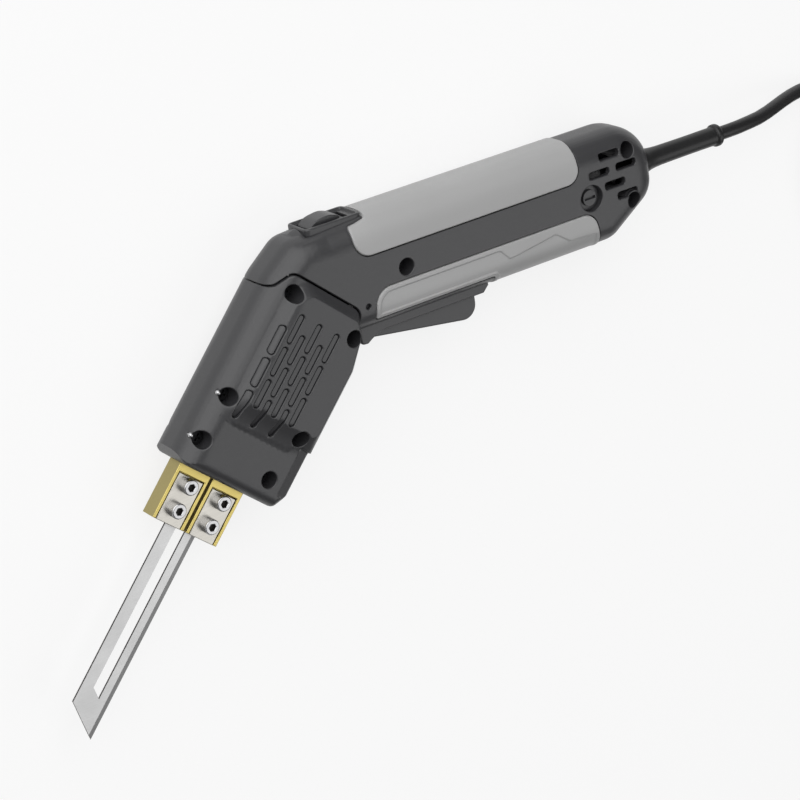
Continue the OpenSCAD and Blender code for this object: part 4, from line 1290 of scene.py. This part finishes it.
def terminal_block(row, mid):
    """A milled brass block with a pocket for the blade's foot, and a rim round the pocket."""
    body, tail = rectangle(92.6, mid - 8.6, BLOCK_END, mid + 8.6), rectangle(79, mid - 5, 93, mid + 5)
    pocket = rectangle(98.4, mid - 7, 160, mid + 7)
    holes = screw_holes(2.05, mid) + [circle(83, mid, 1.55, 20)]
    shapes = [outline(s) for s in (body, tail, pocket)]
    top, foot, seat, chamfer = 4.1, -5.1, -0.5, 0.4
    chamfers = (0, 0.06, 0.2, chamfer)
    curves = [outline(s, k) for s in (body, tail) for k in chamfers]
    curves += [outline(pocket, -k) for k in chamfers] + holes

    def region(m):
        found = painted(m, (BOSS, shapes[1:2]), (SKIN, shapes[:1]))
        paint(found, m, RECESS, shapes[2:], SKIN)
        return paint(found, m, 0, holes)

    def surfaces(p):
        drop, tail_drop = (round_drop(depth_in(p, s), chamfer) for s in shapes[:2])
        rim = top - np.maximum(drop, round_drop(away_from(p, shapes[2]), chamfer))
        made = {
            SKIN: (rim, foot + drop), BOSS: (top - tail_drop, foot + tail_drop),
            RECESS: (rim * 0 + seat, foot + drop),
        }
        return lambda r: made[r]

    solid = relief(curves, region, surfaces, 4.0)
    block = piece(f"{row}_brass_block", solid, ON_NOSE, "brass", f"{row}_terminal_block")
    # The sides and front end take the brass with painted shade, darker and browner than the top.
    part_finish(block, "drawn", lambda c, n: abs(c[1] - mid) > 8.55 or c[0] > BLOCK_END - 0.05)


def clamp_plate(row, mid):
    """A stamped plate over the blade's foot, with eased edges."""
    shape = rectangle(98.8, mid - 6.5, BLOCK_END + 0.1, mid + 6.75)
    dense, holes, edge = outline(shape), screw_holes(2.2, mid), 0.35
    curves = [outline(shape, k) for k in (0, 0.08, 0.2, edge)] + holes

    def surfaces(p):
        height = PLATE_TOP - round_drop(depth_in(p, dense), edge)
        return lambda r: (height, height * 0 + BLADE_HALF)

    solid = relief(curves, lambda m: painted(m, (SKIN, [dense]), (0, holes)), surfaces, 4.0)
    piece(f"{row}_pressure_plate", solid, ON_NOSE, "plated", f"{row}_clamp_plate")


def cap_screw():
    """A socket cap screw with a rounded crown, a chamfered socket and its shank."""
    head, shank = 3.5, 2.0
    top, socket_floor, foot = 7.7, 5.5, -4.5
    socket, wide = circle(0, 0, 1.73, 6), circle(0, 0, 2.0, 6)
    curves = [circle(0, 0, head - k, 48) for k in (0.0, 0.05, 0.17, 0.36, 0.6)]
    curves += [circle(0, 0, shank, 24), socket, wide, circle(0, 0, 2.55, 32)]

    def region(m):
        far = np.hypot(m[:, 0], m[:, 1])
        return paint(np.where(far < shank, BOSS, np.where(far < head, SKIN, 0)), m, WELL, [socket])

    def surfaces(p):
        far = np.hypot(p[:, 0], p[:, 1])
        height = top - round_drop(head - far, 0.6)
        height = height - 0.25 * np.clip(1 - depth_in(p, socket) / -0.22, 0, 1)
        level = far * 0
        made = {
            SKIN: (height, level + PLATE_TOP), BOSS: (height, level + foot),
            WELL: (level + socket_floor, level + foot),
        }
        return lambda r: made[r]

    return relief(curves, region, surfaces, 2.0)


class HOTKNIFE_OT_clamps(bpy.types.Operator):
    """Adds the terminal blocks, their plates and screws, and the blade"""

    bl_idname = "hot_knife.clamps"
    bl_label = "Clamps and blade"

    def execute(self, context):
        mids = {"upper": -BLOCK_MID, "lower": BLOCK_MID}
        for row, mid in mids.items():
            terminal_block(row, mid)
            clamp_plate(row, mid)
        spots = [(n, mid) for mid in mids.values() for n in SCREW_ROWS]
        screw = cap_screw()
        screws = piece("cap_screws", joined([(screw, s) for s in spots]), ON_NOSE, "steel", "clamp_screws")
        # Faces inside the sockets take the dark edge finish: painted shade in the recess.
        part_finish(
            screws, "edge", lambda c, n: c[2] < 7.45 and min(math.dist(c[:2], s) for s in spots) < 1.72,
        )
        self.blade()
        return {"FINISHED"}

    def blade(self):
        """A ground hairpin with a bevel along its outer edge."""
        tip = BLOCK_END + BLADE_LEN
        slot_end, half, bevel_y = tip - 21, 8.5, 6.3
        bevel_wide, bevel_drop = 2.2, 0.42
        body = np.array([(100.4, -half), (tip - 12.07, -half), (tip, half), (100.4, half)])
        feet = [box(99.4, s * 8.55 - 6, 120.1, s * 8.55 + 6) for s in (-1, 1)]
        slot = np.array([(0, -2.6), (slot_end, -2.6), (slot_end + 3.69, 2.6), (0, 2.6)])
        holes = screw_holes(2.2, -BLOCK_MID) + screw_holes(2.2, BLOCK_MID)
        bevel = box(BLOCK_END + 0.4, bevel_y, 400, 9)
        fine = box(0, -half + 0.12, 400, 6.1)

        def region(m):
            found = painted(m, (SKIN, [body, *feet]))
            paint(found, m, RECESS, [bevel], SKIN)
            return paint(found, m, 0, [slot, *holes])

        def surfaces(p):
            flat = np.full(len(p), BLADE_HALF)
            ground = BLADE_HALF - np.clip(p[:, 1] - bevel_y, 0, bevel_wide) * bevel_drop / bevel_wide
            return lambda r: (flat, -flat) if r == SKIN else (ground, -ground)

        solid = relief([body, *feet, slot, *holes, bevel, fine], region, surfaces, 6.0)
        blade = piece("ground_blade", solid, ON_NOSE, "blade", "blade", slot="steel", sharp=6)
        # The bevel's faces take a darker colour: painted shade for their tilt.
        part_finish(blade, "bevel", lambda c, n: c[1] > bevel_y and abs(n.z) > 0.5)
        # The blade's sides take the dark edge finish: painted shade as dark outlines.
        part_finish(blade, "edge", lambda c, n: abs(n.z) < 0.5)


# ---- Pieces that keep their solids ----

KEPT = {
    "steel": ("trigger_spring", "strap_screws", "clamp_bar_screws", "plug_pins"),
    "near_black": ("housing_screws", "trigger_pin"),
    "black": ("trigger_switch", "slide_switch"),
    "rubber": ("inner_leads",),
    "red": ("switch_plunger",),
    "lamination": ("transformer_core",),
    "card": ("transformer_bobbin", "front_plate"),
    "enamel": ("primary_winding",),
    "copper": ("secondary_strap",),
    "grey": ("terminal_strip", "cord_clamp"),
}


class HOTKNIFE_OT_inside(bpy.types.Operator):
    """Finishes the pieces that keep the shape of their solids"""

    bl_idname = "hot_knife.inside"
    bl_label = "Inner pieces"

    def execute(self, context):
        for key, names in KEPT.items():
            for name in names:
                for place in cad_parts[name].material_slots:
                    place.material = finish_of(key)
        return {"FINISHED"}


class HOTKNIFE_PT_panel(bpy.types.Panel):
    """Lists the pieces of the hot knife"""

    bl_idname = "HOTKNIFE_PT_panel"
    bl_label = "Electric Hot Knife"
    bl_space_type = "VIEW_3D"
    bl_region_type = "UI"
    bl_category = "Hot Knife"

    def draw(self, context):
        for operator in STEPS:
            self.layout.operator(f"hot_knife.{operator}")
        for group in GROUPS:
            box = self.layout.box()
            settings = getattr(context.scene, group)
            for name in settings.__annotations__:
                box.prop(settings, name)


STEPS = ("stage", "cord", "handle", "grips", "nose", "switches", "clamps", "inside")
GROUPS = {
    "hot_knife_sizes": HotKnifeSizes, "hot_knife_looks": HotKnifeLooks, "hot_knife_light": HotKnifeLight,
}
CLASSES = [
    HotKnifeSizes, HotKnifeLooks, HotKnifeLight, HOTKNIFE_OT_stage, HOTKNIFE_OT_cord, HOTKNIFE_OT_handle,
    HOTKNIFE_OT_grips, HOTKNIFE_OT_nose, HOTKNIFE_OT_switches, HOTKNIFE_OT_clamps, HOTKNIFE_OT_inside,
    HOTKNIFE_PT_panel,
]


def register():
    for cls in CLASSES:
        bpy.utils.register_class(cls)
    for name, group in GROUPS.items():
        setattr(bpy.types.Scene, name, PointerProperty(type=group))


def unregister():
    for name in GROUPS:
        delattr(bpy.types.Scene, name)
    for cls in reversed(CLASSES):
        bpy.utils.unregister_class(cls)


def main():
    register()
    for step in STEPS:
        getattr(bpy.ops.hot_knife, step)()


if __name__ == "__main__":
    main()
